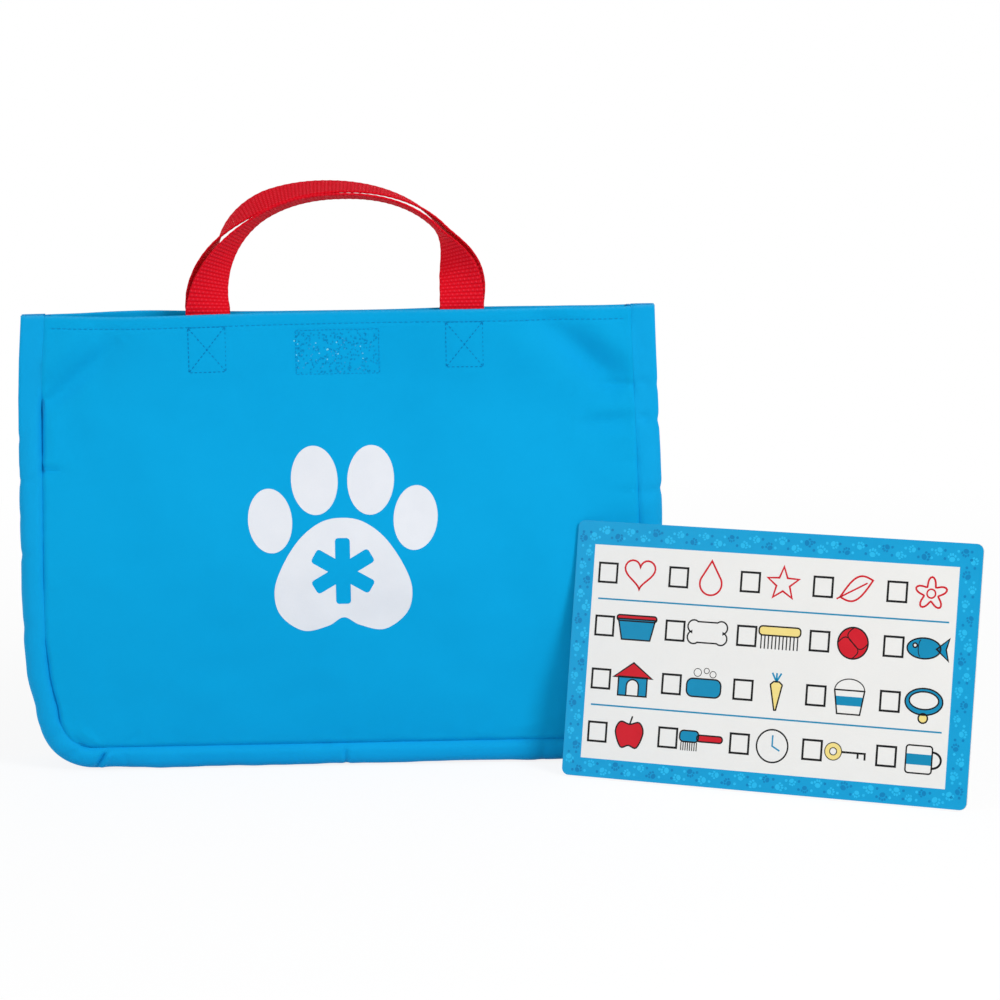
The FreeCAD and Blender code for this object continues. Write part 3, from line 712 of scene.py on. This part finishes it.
def stitches(name, side, lines, material, pitch, long, wide=0.55):
    ring = np.linspace(0, tau, 7)[:-1]
    verts, faces, uvs = [], [], []
    for x0, z0, x1, z1 in lines:
        run = hypot(x1 - x0, z1 - z0)
        tx, tz = (x1 - x0) / run, (z1 - z0) / run
        n = max(1, round(run / pitch))
        for i in range(n):
            m = (i + 0.5) / n
            xs = x0 + (x1 - x0) * m + np.array([-tx, tx, -tz, tz, 0])
            zs = z0 + (z1 - z0) * m + np.array([-tz, tz, tx, -tx, 0])
            before, after, left, right, middle = on_skin(side, xs, zs, STITCH_LIFT)
            along = unit(after - before)
            up = -unit(np.cross(along, right - left))
            if up[1] * middle[1] < 0:
                up = -up
            across = np.cross(up, along)
            base = len(verts)
            for a, thick, lift in STITCH_PROFILE:
                centre = middle + along * a * long + up * lift
                for r in ring:
                    flat, high = wide / 2 * thick * cos(r), STITCH_HIGH * thick * sin(r)
                    verts.append(centre + across * flat + up * high)
                    uvs.append((a * long, r))
            faces += [tuple(base + q for q in f) for f in tube_faces(len(STITCH_PROFILE), len(ring))]
    obj = make(name, np.array(verts), faces, material, np.array(uvs), sharp=80.0)
    return finish_piece(obj, BODY[side], "bag_cloth")


sewing = {FRONT: [], BACK: []}
for side in (FRONT, BACK):
    word = WORD[side] + "_"
    for name, lines, material, pitch in (
            ("hem_stitch", [HEM_LINE], thread, 3.1), ("tab_stitch_left", TAB_LINES[0], dark_thread, 2.5),
            ("tab_stitch_right", TAB_LINES[1], dark_thread, 2.5),
            ("closure_stitch", PATCH_LINES, thread, 2.4)):
        sewing[side].append(stitches(word + name, side, lines, material, pitch, pitch * STITCH_SHARE))
    # the closure's pile marks the cloth inside its rectangle, and a few threads there carry painted glints,
    # painted highlights in their colour
    rng = np.random.RandomState(17)
    for name, count, material, long, wide in (("closure_pile_marks", 260, thread, 1.2, 0.6),
                                              ("closure_painted_glints", 46, thread_with_painted_glints, 0.9, 0.8)):
        marks = []
        for _ in range(count):
            x, z, a = rng.uniform(-MARK_X, MARK_X), rng.uniform(MARK_LOW, MARK_HIGH), rng.normal(pi / 2, 0.35)
            marks.append((x, z, x + long * cos(a), z + long * sin(a)))
        sewing[side].append(stitches(word + name, side, marks, material, long, long, wide))


# Handles: one length of webbing each, from one sewn end over the arch to the other.

def tab_place(end, side):
    """Origin, across and inward directions of a sewn end; end is -1 at x < 0 on the front."""
    x = end * X_TAB
    turn = atan(slope(x, TOP))
    origin = np.array([x, -half_depth(x, TOP) + CLOTH + BOND, TOP])
    across = np.array([cos(turn), -sin(turn), 0])
    inward = np.array([sin(turn), cos(turn), 0])
    flip = np.array([-side, -side, 1])
    return origin * flip, across * flip, inward * flip


WEB_STEP = 1.0 + BOND
WEB_IN = WEB_STEP + WEB_T / 2
# Centre line of a sewn end, as (inward, height above the mouth): it steps in over the hem.
TAB_LINE = [(WEB_T / 2, -35.0), (WEB_T / 2, -23.0), (WEB_T / 2, -12.0), (0.95, -10.8),
            (WEB_STEP + 0.55, -8.8), (WEB_IN, -7.6), (WEB_IN, -4.0), (WEB_IN, -0.6)]
ARCH_STEPS = 240


def handle_path(side, rise, sway, lean, spread, fullness, ease, turn, turn_on, full_from, full_to):
    """Dense centre line and across directions, from the left sewn end to the right one."""
    left, right = (tab_place(side * e, side) for e in (1, -1))
    start, end = (o + i * WEB_IN + np.array([0, 0, 0.4]) for o, _, i in (left, right))
    half = (end[0] - start[0]) / 2
    splay = abs(atan(slope(X_TAB, TOP))) * -side
    y_axis, z_axis = np.array([0, 1.0, 0]), np.array([0, 0, 1.0])

    def centre(a):
        c, s = cos(a), sin(a)
        z = abs(s) ** fullness
        over = float(smooth(0, 1, z))
        x = -copysign(abs(c) ** fullness, c) * half - sin(2 * a) * spread + sway * over
        return np.array([x, start[1] + lean * over, start[2] + rise * z])

    points = [left[0] + left[2] * y + z_axis * z for y, z in TAB_LINE]
    widths = [left[1] * np.sign(left[1][0])] * len(TAB_LINE)
    for i in range(ARCH_STEPS + 1):
        a = pi * i / ARCH_STEPS
        along = unit(centre(min(a + 0.02, pi)) - centre(max(a - 0.02, 0.0)))
        if i in (0, ARCH_STEPS):
            along = z_axis if i == 0 else -z_axis
        inward = unit(np.cross(y_axis, along))
        sideways = np.cross(along, inward)
        deg = degrees(a)
        amount = smooth(0, full_from, deg) ** ease if deg < full_from else 1 - smooth(full_to, 180, deg)
        crest = min(max((deg - full_from) / (full_to - full_from), 0.0), 1.0)
        angle = radians(turn + (turn_on - turn) * crest) * amount
        across = inward * cos(angle) + sideways * sin(angle) + y_axis * splay * (1 - amount)
        points.append(centre(a))
        widths.append(unit(across - along * across.dot(along)))
    points += [right[0] + right[2] * y + z_axis * z for y, z in TAB_LINE[::-1]]
    widths += [-right[1] * np.sign(right[1][0])] * len(TAB_LINE)
    return np.array(points), np.array(widths)


# Section of the webbing: across it, and its side, which is 1 on one face and -1 on the other.
WEB_FLAT = np.linspace(-12.0, 12.0, 31)
WEB_ACROSS = np.concatenate([WEB_FLAT, [12.3, 12.5, 12.3], WEB_FLAT[::-1], [-12.3, -12.5, -12.3]])
WEB_SIDE = np.array([1.0] * 31 + [0.7, 0.0, -0.7] + [-1.0] * 31 + [-0.7, 0.0, 0.7])
PICK_HIGH, WEB_ROW = 0.13, 0.55


def strap(side, **shape):
    centre, across = handle_path(side, **shape)
    run = lengths(centre)
    stations = np.linspace(0, run[-1], int(run[-1] / WEB_ROW))
    c, a = between(stations, run, centre), between(stations, run, across)
    soft = np.ones(9) / 9
    c[4:-4] = np.stack([np.convolve(column, soft, "valid") for column in c.T], -1)
    t = unit(np.gradient(c, axis=0))
    a = unit(a - t * (a * t).sum(1)[:, None])
    n = np.cross(t, a)
    s, u, face = swept(stations, np.stack([WEB_ACROSS, WEB_SIDE], -1))
    # weft picks stand up in staggered columns
    pick = np.maximum(np.sin(s * tau / PICK_PITCH + np.round(u / PICK_WIDTH) * pi), 0)
    high = face * (WEB_T / 2 - PICK_HIGH + PICK_HIGH * np.where(np.abs(face) == 1.0, pick, 0.5))
    fray = 0.12 * swell(91 + side, 5, s, u) * (np.abs(u) > 12)
    points = c[:, None] + a[:, None] * (u + np.sign(u) * fray)[..., None] + n[:, None] * high[..., None]
    uv = np.stack([u + np.where(face < 0, 30.0, 0), s], -1)
    obj = make(HANDLE[side] + "_webbing", points, tube_faces(*u.shape), webbing, uv, sharp=70.0)
    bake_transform(obj)
    word = WORD[side]
    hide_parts(word + "_handle_strap", word + "_tab_left", word + "_tab_right")


strap(FRONT, rise=64.3, sway=4.5, lean=0.0, spread=0.0, fullness=0.89, ease=0.35, turn=77.4, turn_on=81.8,
      full_from=59.3, full_to=136.5)
strap(BACK, rise=68.2, sway=0.0, lean=7.4, spread=5.9, fullness=0.95, ease=0.41, turn=109.1, turn_on=80.7,
      full_from=63.9, full_to=139.2)


# Flat shapes: outlines are lists of (x, y) points, filled with the even-odd rule.

def arc(cx, cy, rx, ry, start, step, count):
    """Points on an oval, from one angle in degrees by even steps."""
    turns = [radians(start + step * k) for k in range(count)]
    return [(cx + rx * cos(a), cy + ry * sin(a)) for a in turns]


def rounded(x0, y0, x1, y1, r, n=6):
    corners = ((x1 - r, y1 - r, 0), (x0 + r, y1 - r, 90), (x0 + r, y0 + r, 180), (x1 - r, y0 + r, 270))
    return [p for cx, cy, start in corners for p in arc(cx, cy, r, r, start, 90 / n, n + 1)]


def ellipse(cx, cy, rx, ry, n=40, turn=0.0):
    c, s = cos(turn), sin(turn)
    return [(cx + x * c - y * s, cy + x * s + y * c) for x, y in arc(0, 0, rx, ry, 0, 360 / n, n)]


def curve(points, n=8):
    """Closed smooth line through points."""
    out = []
    count = len(points)
    for i in range(count):
        p0, p1, p2, p3 = (np.array(points[(i + k) % count], float) for k in (-1, 0, 1, 2))
        for t in np.arange(n) / n:
            out.append(tuple(0.5 * (2 * p1 + (p2 - p0) * t + (2 * p0 - 5 * p1 + 4 * p2 - p3) * t * t
                                    + (3 * p1 - p0 - 3 * p2 + p3) * t ** 3)))
    return out


def star_arms(cx, cy, reach, wide, arms=6):
    """Asterisk with softly rounded arm ends."""
    out = []
    half = wide / 2
    root = half / tan(pi / arms)
    end = [(reach - 1.6, half), (reach - 0.5, half - 0.5), (reach, half - 1.6)]
    outline = [(root, -half)] + [(r, -w) for r, w in end] + end[::-1]
    for k in range(arms):
        a = pi / 2 + tau * k / arms
        c, s = cos(a), sin(a)
        out += [(cx + c * r - s * w, cy + s * r + c * w) for r, w in outline]
    return out


def inside(loops, x, y):
    odd = False
    for loop in loops:
        for (x0, y0), (x1, y1) in zip(loop, loop[1:] + loop[:1]):
            if (y0 > y) != (y1 > y) and x < x0 + (y - y0) * (x1 - x0) / (y1 - y0):
                odd = not odd
    return odd


def filled(loops, step=None):
    """Triangles of a shape, with points inside it every step where it has to bend."""
    points, edges = [], []
    for loop in loops:
        base, n = len(points), len(loop)
        points += loop
        edges += [(base + i, base + (i + 1) % n) for i in range(n)]
    if step:
        xs, ys = zip(*points)
        for i in range(int((max(xs) - min(xs)) / step)):
            for j in range(int((max(ys) - min(ys)) / step)):
                x, y = min(xs) + (i + 0.5) * step, min(ys) + (j + 0.5) * step
                from_edge = min(hypot(x - a, y - b) for a, b in zip(xs, ys))
                if from_edge > step * 0.45 and inside(loops, x, y):
                    points.append((x, y))
    out, _, tris, *_ = delaunay_2d_cdt([Vector(p) for p in points], edges, [], 0, 1e-6)
    middles = [sum((out[i] for i in t), Vector((0, 0))) / len(t) for t in tris]
    return [(p.x, p.y) for p in out], [tuple(t) for t, m in zip(tris, middles) if inside(loops, m.x, m.y)]


def stroke(points, width, closed=True):
    """A line of even width as triangles."""
    points = np.array(points, float)
    n = len(points)
    before, after = np.roll(points, 1, 0), np.roll(points, -1, 0)
    if not closed:
        before[0], after[-1] = points[0], points[-1]
    come, go = unit(points - before), unit(after - points)
    along = unit(come + go)
    go = np.where(go.any(1)[:, None], go, come)
    turn = np.abs((along * go).sum(1))[:, None]
    aside = np.stack([-along[:, 1], along[:, 0]], -1) * (width / 2 / np.maximum(0.45, turn))
    tris = []
    for i in range(n if closed else n - 1):
        j = (i + 1) % n
        tris += [(i, n + i, n + j), (i, n + j, j)]
    return np.concatenate([points + aside, points - aside]), tris


def slabs(name, shapes, lift, material):
    """Thin closed pieces: shapes are (points, triangles), and lift turns (x, y, level) into a place."""
    verts, faces, uvs = [], [], []
    for points, tris in shapes:
        used = sorted({i for t in tris for i in t})
        index = {p: k for k, p in enumerate(used)}
        tris = [tuple(index[i] for i in t) for t in tris]
        flat = np.array([points[i] for i in used])
        base, n = len(verts), len(used)
        for level in (1, 0):
            verts += list(lift(flat[:, 0], flat[:, 1], level))
            uvs += flat.tolist()
        faces += [tuple(base + i for i in t) for t in tris]
        faces += [tuple(base + n + i for i in t[::-1]) for t in tris]
        sides = dict.fromkeys(pair for t in tris for pair in zip(t, t[1:] + t[:1]))
        faces += [(base + a, base + n + a, base + n + b, base + b) for a, b in sides if (b, a) not in sides]
    return make(name, np.array(verts), faces, material, np.array(uvs), sharp=30.0)


# Hook and loop patches inside the mouth
PATCH_HALF, PATCH_LOW, PATCH_HIGH, PATCH_OUT, PATCH_IN = 24.6, 222.9, 248.1, 1.95, 1.25
PILE_EDGE, PILE_ACROSS, PILE_UP = 2.4, 20, 8
# A hook or loop as (along, height) points, and the section of its strand.
SPINE = {FRONT: [(0, 0), (0.1, 0.45), (0.45, 0.72), (0.8, 0.5)],
         BACK: [(-0.7, 0), (-0.4, 0.55), (0.1, 0.8), (0.6, 0.4), (0.8, 0.0)]}
STRAND = [(0.13, 0), (0, 0.13), (-0.13, 0), (0, -0.1)]


def patch(side, name, material):
    rng = np.random.RandomState(31)
    outline = rounded(-PATCH_HALF, PATCH_LOW, PATCH_HALF, PATCH_HIGH, 2, 3)
    verts = [(x, side * y, z) for y in (PATCH_OUT, PATCH_IN) for x, z in outline]
    faces = tube_faces(2, len(outline))
    wide, tall = 2 * (PATCH_HALF - PILE_EDGE), PATCH_HIGH - PATCH_LOW - 2 * PILE_EDGE
    for i in range(PILE_ACROSS + 1):
        for j in range(PILE_UP + 1):
            x = -PATCH_HALF + PILE_EDGE + i * wide / PILE_ACROSS + rng.uniform(-0.3, 0.3)
            z = PATCH_LOW + PILE_EDGE + j * tall / PILE_UP + rng.uniform(-0.3, 0.3)
            turn = rng.uniform(0, tau) if side == BACK else (0 if j % 2 else pi)
            c, s = cos(turn), sin(turn)
            base = len(verts)
            for a, h in SPINE[side]:
                y = side * (PATCH_IN - h)
                verts += [(x + (a + dh) * c - da * s, y, z + (a + dh) * s + da * c) for da, dh in STRAND]
            faces += [tuple(base + q for q in f) for f in tube_faces(len(SPINE[side]), len(STRAND))]
    return make(name + "_tape_patch", np.array(verts), faces, material)


for side, name, material in ((FRONT, "hook", hook_tape), (BACK, "loop", loop_tape)):
    finish_piece(patch(side, name, material), BODY[side], name + "_tape", name + "_patch")


# Paw print on the front panel
PAW_X, PAW_Z, PAW_STEP = 1.6, 115.2, 3.0
INK_HIGH, INK_LOW = 0.16, -0.35
TOES = [(-40.5, 28.2, 12.4, 17.5, 0.10), (-15.2, 49.8, 13.2, 18.7, 0.06),
        (16.6, 49.5, 13.2, 18.7, -0.06), (41.5, 28.6, 12.4, 17.5, -0.10)]
HALF_PAD = [(0, 29.5), (12, 27.2), (24, 18.4), (34, 3.6), (38.8, -10.8), (35.6, -24.4), (23, -33.6), (9, -31)]
pad = curve(HALF_PAD + [(0.0, -26.3)] + [(-x, y) for x, y in HALF_PAD[:0:-1]])
paw = [filled([ellipse(PAW_X + x, PAW_Z + y, rx, ry, 44, turn)], PAW_STEP) for x, y, rx, ry, turn in TOES]
paw.append(filled([[(PAW_X + x, PAW_Z + y) for x, y in pad], star_arms(PAW_X, PAW_Z, 18.6, 8.4)], PAW_STEP))


def on_panel(x, z, level):
    return place(FRONT, x, skin(FRONT, x, z) + (INK_HIGH if level else INK_LOW), z)


finish_piece(slabs("paw_print", paw, on_panel, ink), "bag", "bag_cloth")


# Card: the printed film keeps its place from the frame's own node.
yaw, tilt = radians(CARD_YAW), radians(CARD_TILT)
card_along = np.array([cos(yaw), -sin(yaw), 0])
card_out = np.array([-sin(yaw), -cos(yaw), 0])
card_up = np.array([0, 0, cos(tilt)]) - card_out * sin(tilt)
card_face = np.cross(card_along, card_up)
film_points = np.array([v.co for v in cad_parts["card_front_film"].data.vertices]) / MM
card_origin = (card_along * (film_points @ card_along).min() + card_up * (film_points @ card_up).min()
               + card_face * (film_points @ card_face).max())


def on_card(height):
    def lift(x, y, level):
        up = height if level else -0.02
        return card_origin + x[:, None] * card_along + y[:, None] * card_up + up * card_face
    return lift


PRINT_EDGE, PRINT_ROUND, OVERLAP = 0.35, 3.7, 0.4
WHITE_X0, WHITE_Y0, WHITE_X1, WHITE_Y1 = 11.2, 10.9, CARD_W - 12.8, CARD_H - 13.5
border = filled([rounded(PRINT_EDGE, PRINT_EDGE, CARD_W - PRINT_EDGE, CARD_H - PRINT_EDGE, PRINT_ROUND),
                 box(WHITE_X0, WHITE_Y0, WHITE_X1, WHITE_Y1)])
window = filled([box(WHITE_X0 - OVERLAP, WHITE_Y0 - OVERLAP, WHITE_X1 + OVERLAP, WHITE_Y1 + OVERLAP)])
# Runs of the border: a start, a direction and a length.
BORDER_RUNS = [(6.0, 5.5, 1, 0, CARD_W - 12), (CARD_W - 6.4, 6.0, 0, 1, CARD_H - 12),
               (CARD_W - 6.0, CARD_H - 6.8, -1, 0, CARD_W - 12), (5.6, CARD_H - 6.0, 0, -1, CARD_H - 12)]
MOTIF_PITCH, MOTIF_ASIDE, MOTIF_SIZE = 7.4, 1.7, 2.9
# A small paw's pad and toes, as ovals for a size of 1.
PAW_SPOTS = [(0, -0.25, 0.55, 0.45), (-0.62, 0.28, 0.2, 0.26), (-0.22, 0.62, 0.2, 0.27),
             (0.22, 0.62, 0.2, 0.27), (0.62, 0.28, 0.2, 0.26)]


def border_motifs():
    rng = np.random.RandomState(5)
    light, dark = [], []
    for x0, y0, dx, dy, length in BORDER_RUNS:
        count = int(length / MOTIF_PITCH)
        for k in range(count):
            at = (k + 0.5) * length / count
            across = MOTIF_ASIDE if k % 2 else -MOTIF_ASIDE
            x, y = x0 + dx * at - dy * across, y0 + dy * at + dx * across
            r, turn = MOTIF_SIZE + rng.uniform(-0.3, 0.3), rng.uniform(0, tau)
            c, s = cos(turn), sin(turn)
            for px, py, rx, ry in PAW_SPOTS:
                spot = ellipse(x + (px * c - py * s) * r, y + (px * s + py * c) * r, rx * r, ry * r, 12, turn)
                (light if k % 3 else dark).append(filled([spot]))
            for sign in (-1, 1):
                aside = across + sign * 2.2
                dot = ellipse(x - dx * 3.4 + dy * aside, y - dy * 3.4 - dx * aside, 0.8, 0.8, 10)
                (dark if (k + sign) % 2 else light).append(filled([dot]))
    return light, dark


# Checklist: a regular grid of boxes, each with a plain sign beside it. A sign
# is a list of parts about its own middle. Each colour has a height and a paint.
LAYERS = {"under": (0.045, paper), "red": (0.05, art_red), "blue": (0.055, art_blue),
          "yellow": (0.05, art_yellow), "white": (0.06, paper)}
LINES = {"black": (0.07, art_black), "red": (0.06, art_red), "blue": (0.065, art_blue)}
signs, lines = {colour: [] for colour in LAYERS}, {colour: [] for colour in LINES}


def part(fill, points, width=0.85, line="black", closed=True, hole=()):
    return fill, points, width, line, closed, hole


def pen(points, width, line="black"):
    return part(None, points, width, line, closed=False)


def outlined(points, width=1.05):
    return part(None, points, width, "red")


def teeth(x, pitch, count, top, width):
    return [pen([(x + pitch * k, top), (x + pitch * k, -6.5)], width) for k in range(count)]


def draw(x, y, parts):
    for fill, points, width, line, closed, hole in parts:
        loop, gap = ([(x + px, y + py) for px, py in ring] for ring in (points, hole))
        if fill:
            signs[fill].append(filled([loop, gap] if gap else [loop]))
        if line:
            lines[line].append(stroke(loop, width, closed))


def full_turn(n):
    return [tau * k / n for k in range(n)]


HEART = [(8.96 * sin(a) ** 3,
          0.56 * (13 * cos(a) - 5 * cos(2 * a) - 2 * cos(3 * a) - cos(4 * a)) + 1)
         for a in full_turn(40)]
STAR = [(r * sin(a), r * cos(a)) for a, r in zip(full_turn(10), (9.4, 4.0) * 5)]
PETALS = [((6.6 + 2.4 * cos(5 * a)) * sin(a), (6.6 + 2.4 * cos(5 * a)) * cos(a))
          for a in full_turn(60)]
LEAF_EDGE = [(-9 + 18 * t, -5 + 10 * t + 6.2 * sin(pi * t)) for t in (k / 14 for k in range(15))]
LEAF = LEAF_EDGE + [(-x, -y) for x, y in LEAF_EDGE[1:-1]]
BONE = [p for cx, cy, start in ((8, 3, -70), (-8, 3, 50), (-8, -3, 110), (8, -3, 230))
        for p in arc(cx, cy, 3.6, 3.6, start, 20, 11)]
BALL_LINE = [(-8.4 + 1.4 * k, 3.2 * sin(tau * k / 12)) for k in range(13)]
DOOR = [(-3.6, -8.5), (3.6, -8.5), (3.6, -3)] + arc(0, -3, 3.6, 3.6, 20, 20, 8) + [(-3.6, -3)]
HALF_APPLE = [(5.6, 6.6), (8.2, 1), (4.8, -7.4)]
APPLE = [(0, 5.4)] + HALF_APPLE + [(0, -6.4)] + [(-x, y) for x, y in HALF_APPLE[::-1]]

heart = [outlined(HEART)]
drop = [outlined([(0, 10)] + arc(0, -2.6, 6.4, 6.4, 35, -250 / 24, 25))]
star = [outlined(STAR)]
leaf = [outlined(LEAF), pen([(-11, -6.2), (6, 3.4)], 0.9, "red")]
flower = [outlined(PETALS), outlined(ellipse(0, 0, 2.4, 2.4, 20), 0.9)]
bowl = [part("blue", [(-11, 4.5), (11, 4.5), (8.4, -7), (-8.4, -7)]),
        part("red", rounded(-11.8, 3.4, 11.8, 6.6, 1.5, 4))]
bone = [part("white", BONE)]
comb = [part("yellow", rounded(-12, 1, 12, 6, 2, 4))] + teeth(-10.5, 2.1, 11, 1, 0.7)
ball = [part("red", ellipse(0, 0, 8.6, 8.6)), pen(BALL_LINE, 0.6), pen([(y, x) for x, y in BALL_LINE], 0.6)]
fish = [part("blue", [(5, 0), (12, 6), (10.4, 0), (12, -6)]), part("blue", ellipse(-2, 0, 9.4, 5.6)),
        part("white", ellipse(-7, 1.4, 1.2, 1.2, 12)), pen(arc(-3.6, 0, -1.6, 4.6, -80, 16, 11), 0.5)]
kennel = [part("blue", box(-8.5, -8.5, 8.5, 2)), part("red", [(-11.5, 1.6), (11.5, 1.6), (0, 10)]),
          part("white", DOOR)]
soap = [part("blue", rounded(-10, -6, 10, 4, 3.4, 5))]
BUBBLES = [(-4, 7.4, 2.2), (1.2, 8.6, 1.5), (5, 6.8, 1.8)]
soap += [part("white", ellipse(x, y, r, r, 16), 0.4) for x, y, r in BUBBLES]
carrot = [part("yellow", [(-3.4, 4), (-1.6, 5.6), (1.6, 5.6), (3.4, 4), (0.5, -10), (-0.5, -10)])]
carrot += [pen([(0, 5.6), (x, 10.4)], 1.0, "blue") for x in (-2.6, 0, 2.6)]
bucket = [part("under", [(-8.5, 4), (8.5, 4), (6.5, -9), (-6.5, -9)]),
          part("blue", [(-7.9, 0.6), (7.9, 0.6), (7.2, -4.4), (-7.2, -4.4)], line=None),
          pen(arc(0, 4, 8.5, 6.2, 0, 12, 16), 0.6)]
collar = [part("blue", ellipse(0, 1, 10.5, 7.2)), part("white", ellipse(0, 1.6, 8.2, 4.8)),
          part("yellow", ellipse(0, -8, 2.6, 2.6, 18))]
apple = [part("red", curve(APPLE, 5)), pen([(0, 5.4), (1.4, 10)], 0.9)]
brush = [part("red", rounded(-2, -1, 13, 2.6, 1.7, 4)), part("blue", rounded(-12, -1.6, -1, 4.6, 2.2, 4))]
brush += teeth(-11, 1.3, 8, -1.8, 0.55)
clock = [part("white", ellipse(0, 0, 9, 9), 0.9), pen([(0, 6), (0, 0), (4.4, -2.4)], 0.9, "blue")]
key = [part("yellow", ellipse(-7, 0, 4.8, 4.8, 28), line=None, hole=ellipse(-7, 0, 2, 2, 16)),
       pen([(-2.4, 0), (11, 0), (11, -3.6)], 1.1), pen([(7, 0), (7, -3)], 1.1)]
key += [pen(ellipse(-7, 0, r, r, 28) + [(-7 + r, 0)], 0.5) for r in (4.8, 2.0)]
mug = [pen(arc(6.6, -0.5, 5, 4.4, -90, 12, 16), 1.2), part("under", rounded(-8, -8, 6.6, 7, 1.6, 4)),
       part("blue", box(-7.7, -3.4, 6.3, 2.4), line=None)]

ROWS = [[heart, drop, star, leaf, flower], [bowl, bone, comb, ball, fish],
        [kennel, soap, carrot, bucket, collar], [apple, brush, clock, key, mug]]
CELL_W, CELL_H = (WHITE_X1 - WHITE_X0) / 5, (WHITE_Y1 - WHITE_Y0) / 4
TICK_X, TICK_Y, SIGN_X, RULE_GAP = 3.2, -5.5, 27.5, 3.5
TICK_BOX = pen(box(0, 0, 10.6, 10.6) + [(0, 0), (0.5, 0)], 1.2)
for r, row in enumerate(ROWS):
    cy = WHITE_Y1 - (r + 0.5) * CELL_H
    for c, sign in enumerate(row):
        left = WHITE_X0 + c * CELL_W
        draw(left + TICK_X, cy + TICK_Y, [TICK_BOX])
        draw(left + SIGN_X, cy, sign)
RULE = pen([(WHITE_X0 + RULE_GAP, 0), (WHITE_X1 - RULE_GAP, 0)], 0.9, "blue")
for r in (1, 3):
    draw(0, WHITE_Y1 - r * CELL_H, [RULE])

light_motifs, dark_motifs = border_motifs()
card_print = [("card_border", [border], 0.02, card_blue), ("card_window", [window], 0.03, paper),
              ("card_border_light", light_motifs, 0.04, card_light),
              ("card_border_dark", dark_motifs, 0.04, card_dark)]
card_print += [("card_signs_" + colour, signs[colour], *look) for colour, look in LAYERS.items()]
card_print += [("card_lines_" + colour, lines[colour], *look) for colour, look in LINES.items()]
for name, shapes, height, material in card_print:
    finish_piece(slabs(name, shapes, on_card(height), material), "card", "card_film")

for node, material in (("card_front_film", film), ("card_board", board), ("card_back_film", back_film)):
    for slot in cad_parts[node].material_slots:
        slot.material = material


# Floor, light and camera
WHITE = (1, 1, 1, 1)
FLOOR_MIDDLE, FLOOR_HALF, FLOOR_Z = (0.08, -0.05, 0), 12, -0.0006
WORLD_LIGHT = 0.42


def floor_paint():
    p = Paint("white_floor")
    p.tree.nodes.remove(p.shader)
    # near the object the floor takes its shadow, and further off it is plain white
    place_on_floor = p.node("ShaderNodeNewGeometry", out="Position")
    away = p.node("ShaderNodeVectorMath", place_on_floor, FLOOR_MIDDLE, operation="DISTANCE", out="Value")
    far = p.ramp(away, 0.3, 1.0)
    soft = p.node("ShaderNodeBsdfDiffuse", p.times_add(far, -0.15, 0.15))
    glow = p.node("ShaderNodeEmission", WHITE, p.times_add(far, 0.13, 0.87))
    real = p.node("ShaderNodeBsdfDiffuse", (0.82, 0.82, 0.82, 1))
    shown = p.node("ShaderNodeAddShader", soft, glow)
    surface = p.node("ShaderNodeMixShader", p.seen(), real, shown)
    p.fill(p.tree.nodes["Material Output"].inputs["Surface"], surface)
    return p.material


corners = box(-FLOOR_HALF, -FLOOR_HALF, FLOOR_HALF, FLOOR_HALF)
floor_mesh = bpy.data.meshes.new("floor")
floor_mesh.from_pydata([(x, y, FLOOR_Z) for x, y in corners], [], [(0, 1, 2, 3)])
floor_mesh.materials.append(floor_paint())
floor = add("floor", floor_mesh)

world = bpy.data.worlds.new("studio")
bpy.context.scene.world = world
world.use_nodes = True
wiring = Wiring(world.node_tree)
sky = world.node_tree.nodes["Background"].inputs
wiring.fill(sky["Color"], WHITE)
wiring.fill(sky["Strength"], wiring.times_add(wiring.seen(), 1.0 - WORLD_LIGHT, WORLD_LIGHT))


def lamp(name, where, aim, size, watts):
    data = bpy.data.lights.new(name, "AREA")
    data.shape, data.size, data.energy = "DISK", size, watts
    obj = add(name, data)
    obj.location = where
    obj.rotation_euler = (Vector(aim) - Vector(where)).to_track_quat("-Z", "Y").to_euler()


lamp("key", where=(1.4, -1.5, 1.3), aim=(0.05, 0, 0.12), size=0.9, watts=27.5)
lamp("fill", where=(-1.7, -1.1, 0.8), aim=(0, 0, 0.12), size=1.4, watts=11.5)

TARGET, DISTANCE = Vector((0, 0, 0.125)), 2.2
azimuth, elevation, roll = (radians(d) for d in (0.91, 10.68, 1.36))
level_right = Vector((cos(azimuth), sin(azimuth), 0))
level_back = Vector((sin(azimuth), -cos(azimuth), 0))
backward = level_back * cos(elevation) + Vector((0, 0, sin(elevation)))
level_up = backward.cross(level_right)
cam_up = level_up * cos(roll) + level_right * sin(roll)
cam_right = level_right * cos(roll) - level_up * sin(roll)
camera_data = bpy.data.cameras.new("camera")
camera_data.sensor_width = 36.0
camera_data.lens = 138.73
camera_data.shift_x, camera_data.shift_y = 0.1596, 0.0433
camera = add("camera", camera_data)
turn = Matrix((cam_right, cam_up, backward)).transposed().to_4x4()
camera.matrix_world = Matrix.Translation(TARGET + backward * DISTANCE) @ turn
bpy.context.scene.camera = camera
bpy.context.scene.view_settings.view_transform = "Standard"
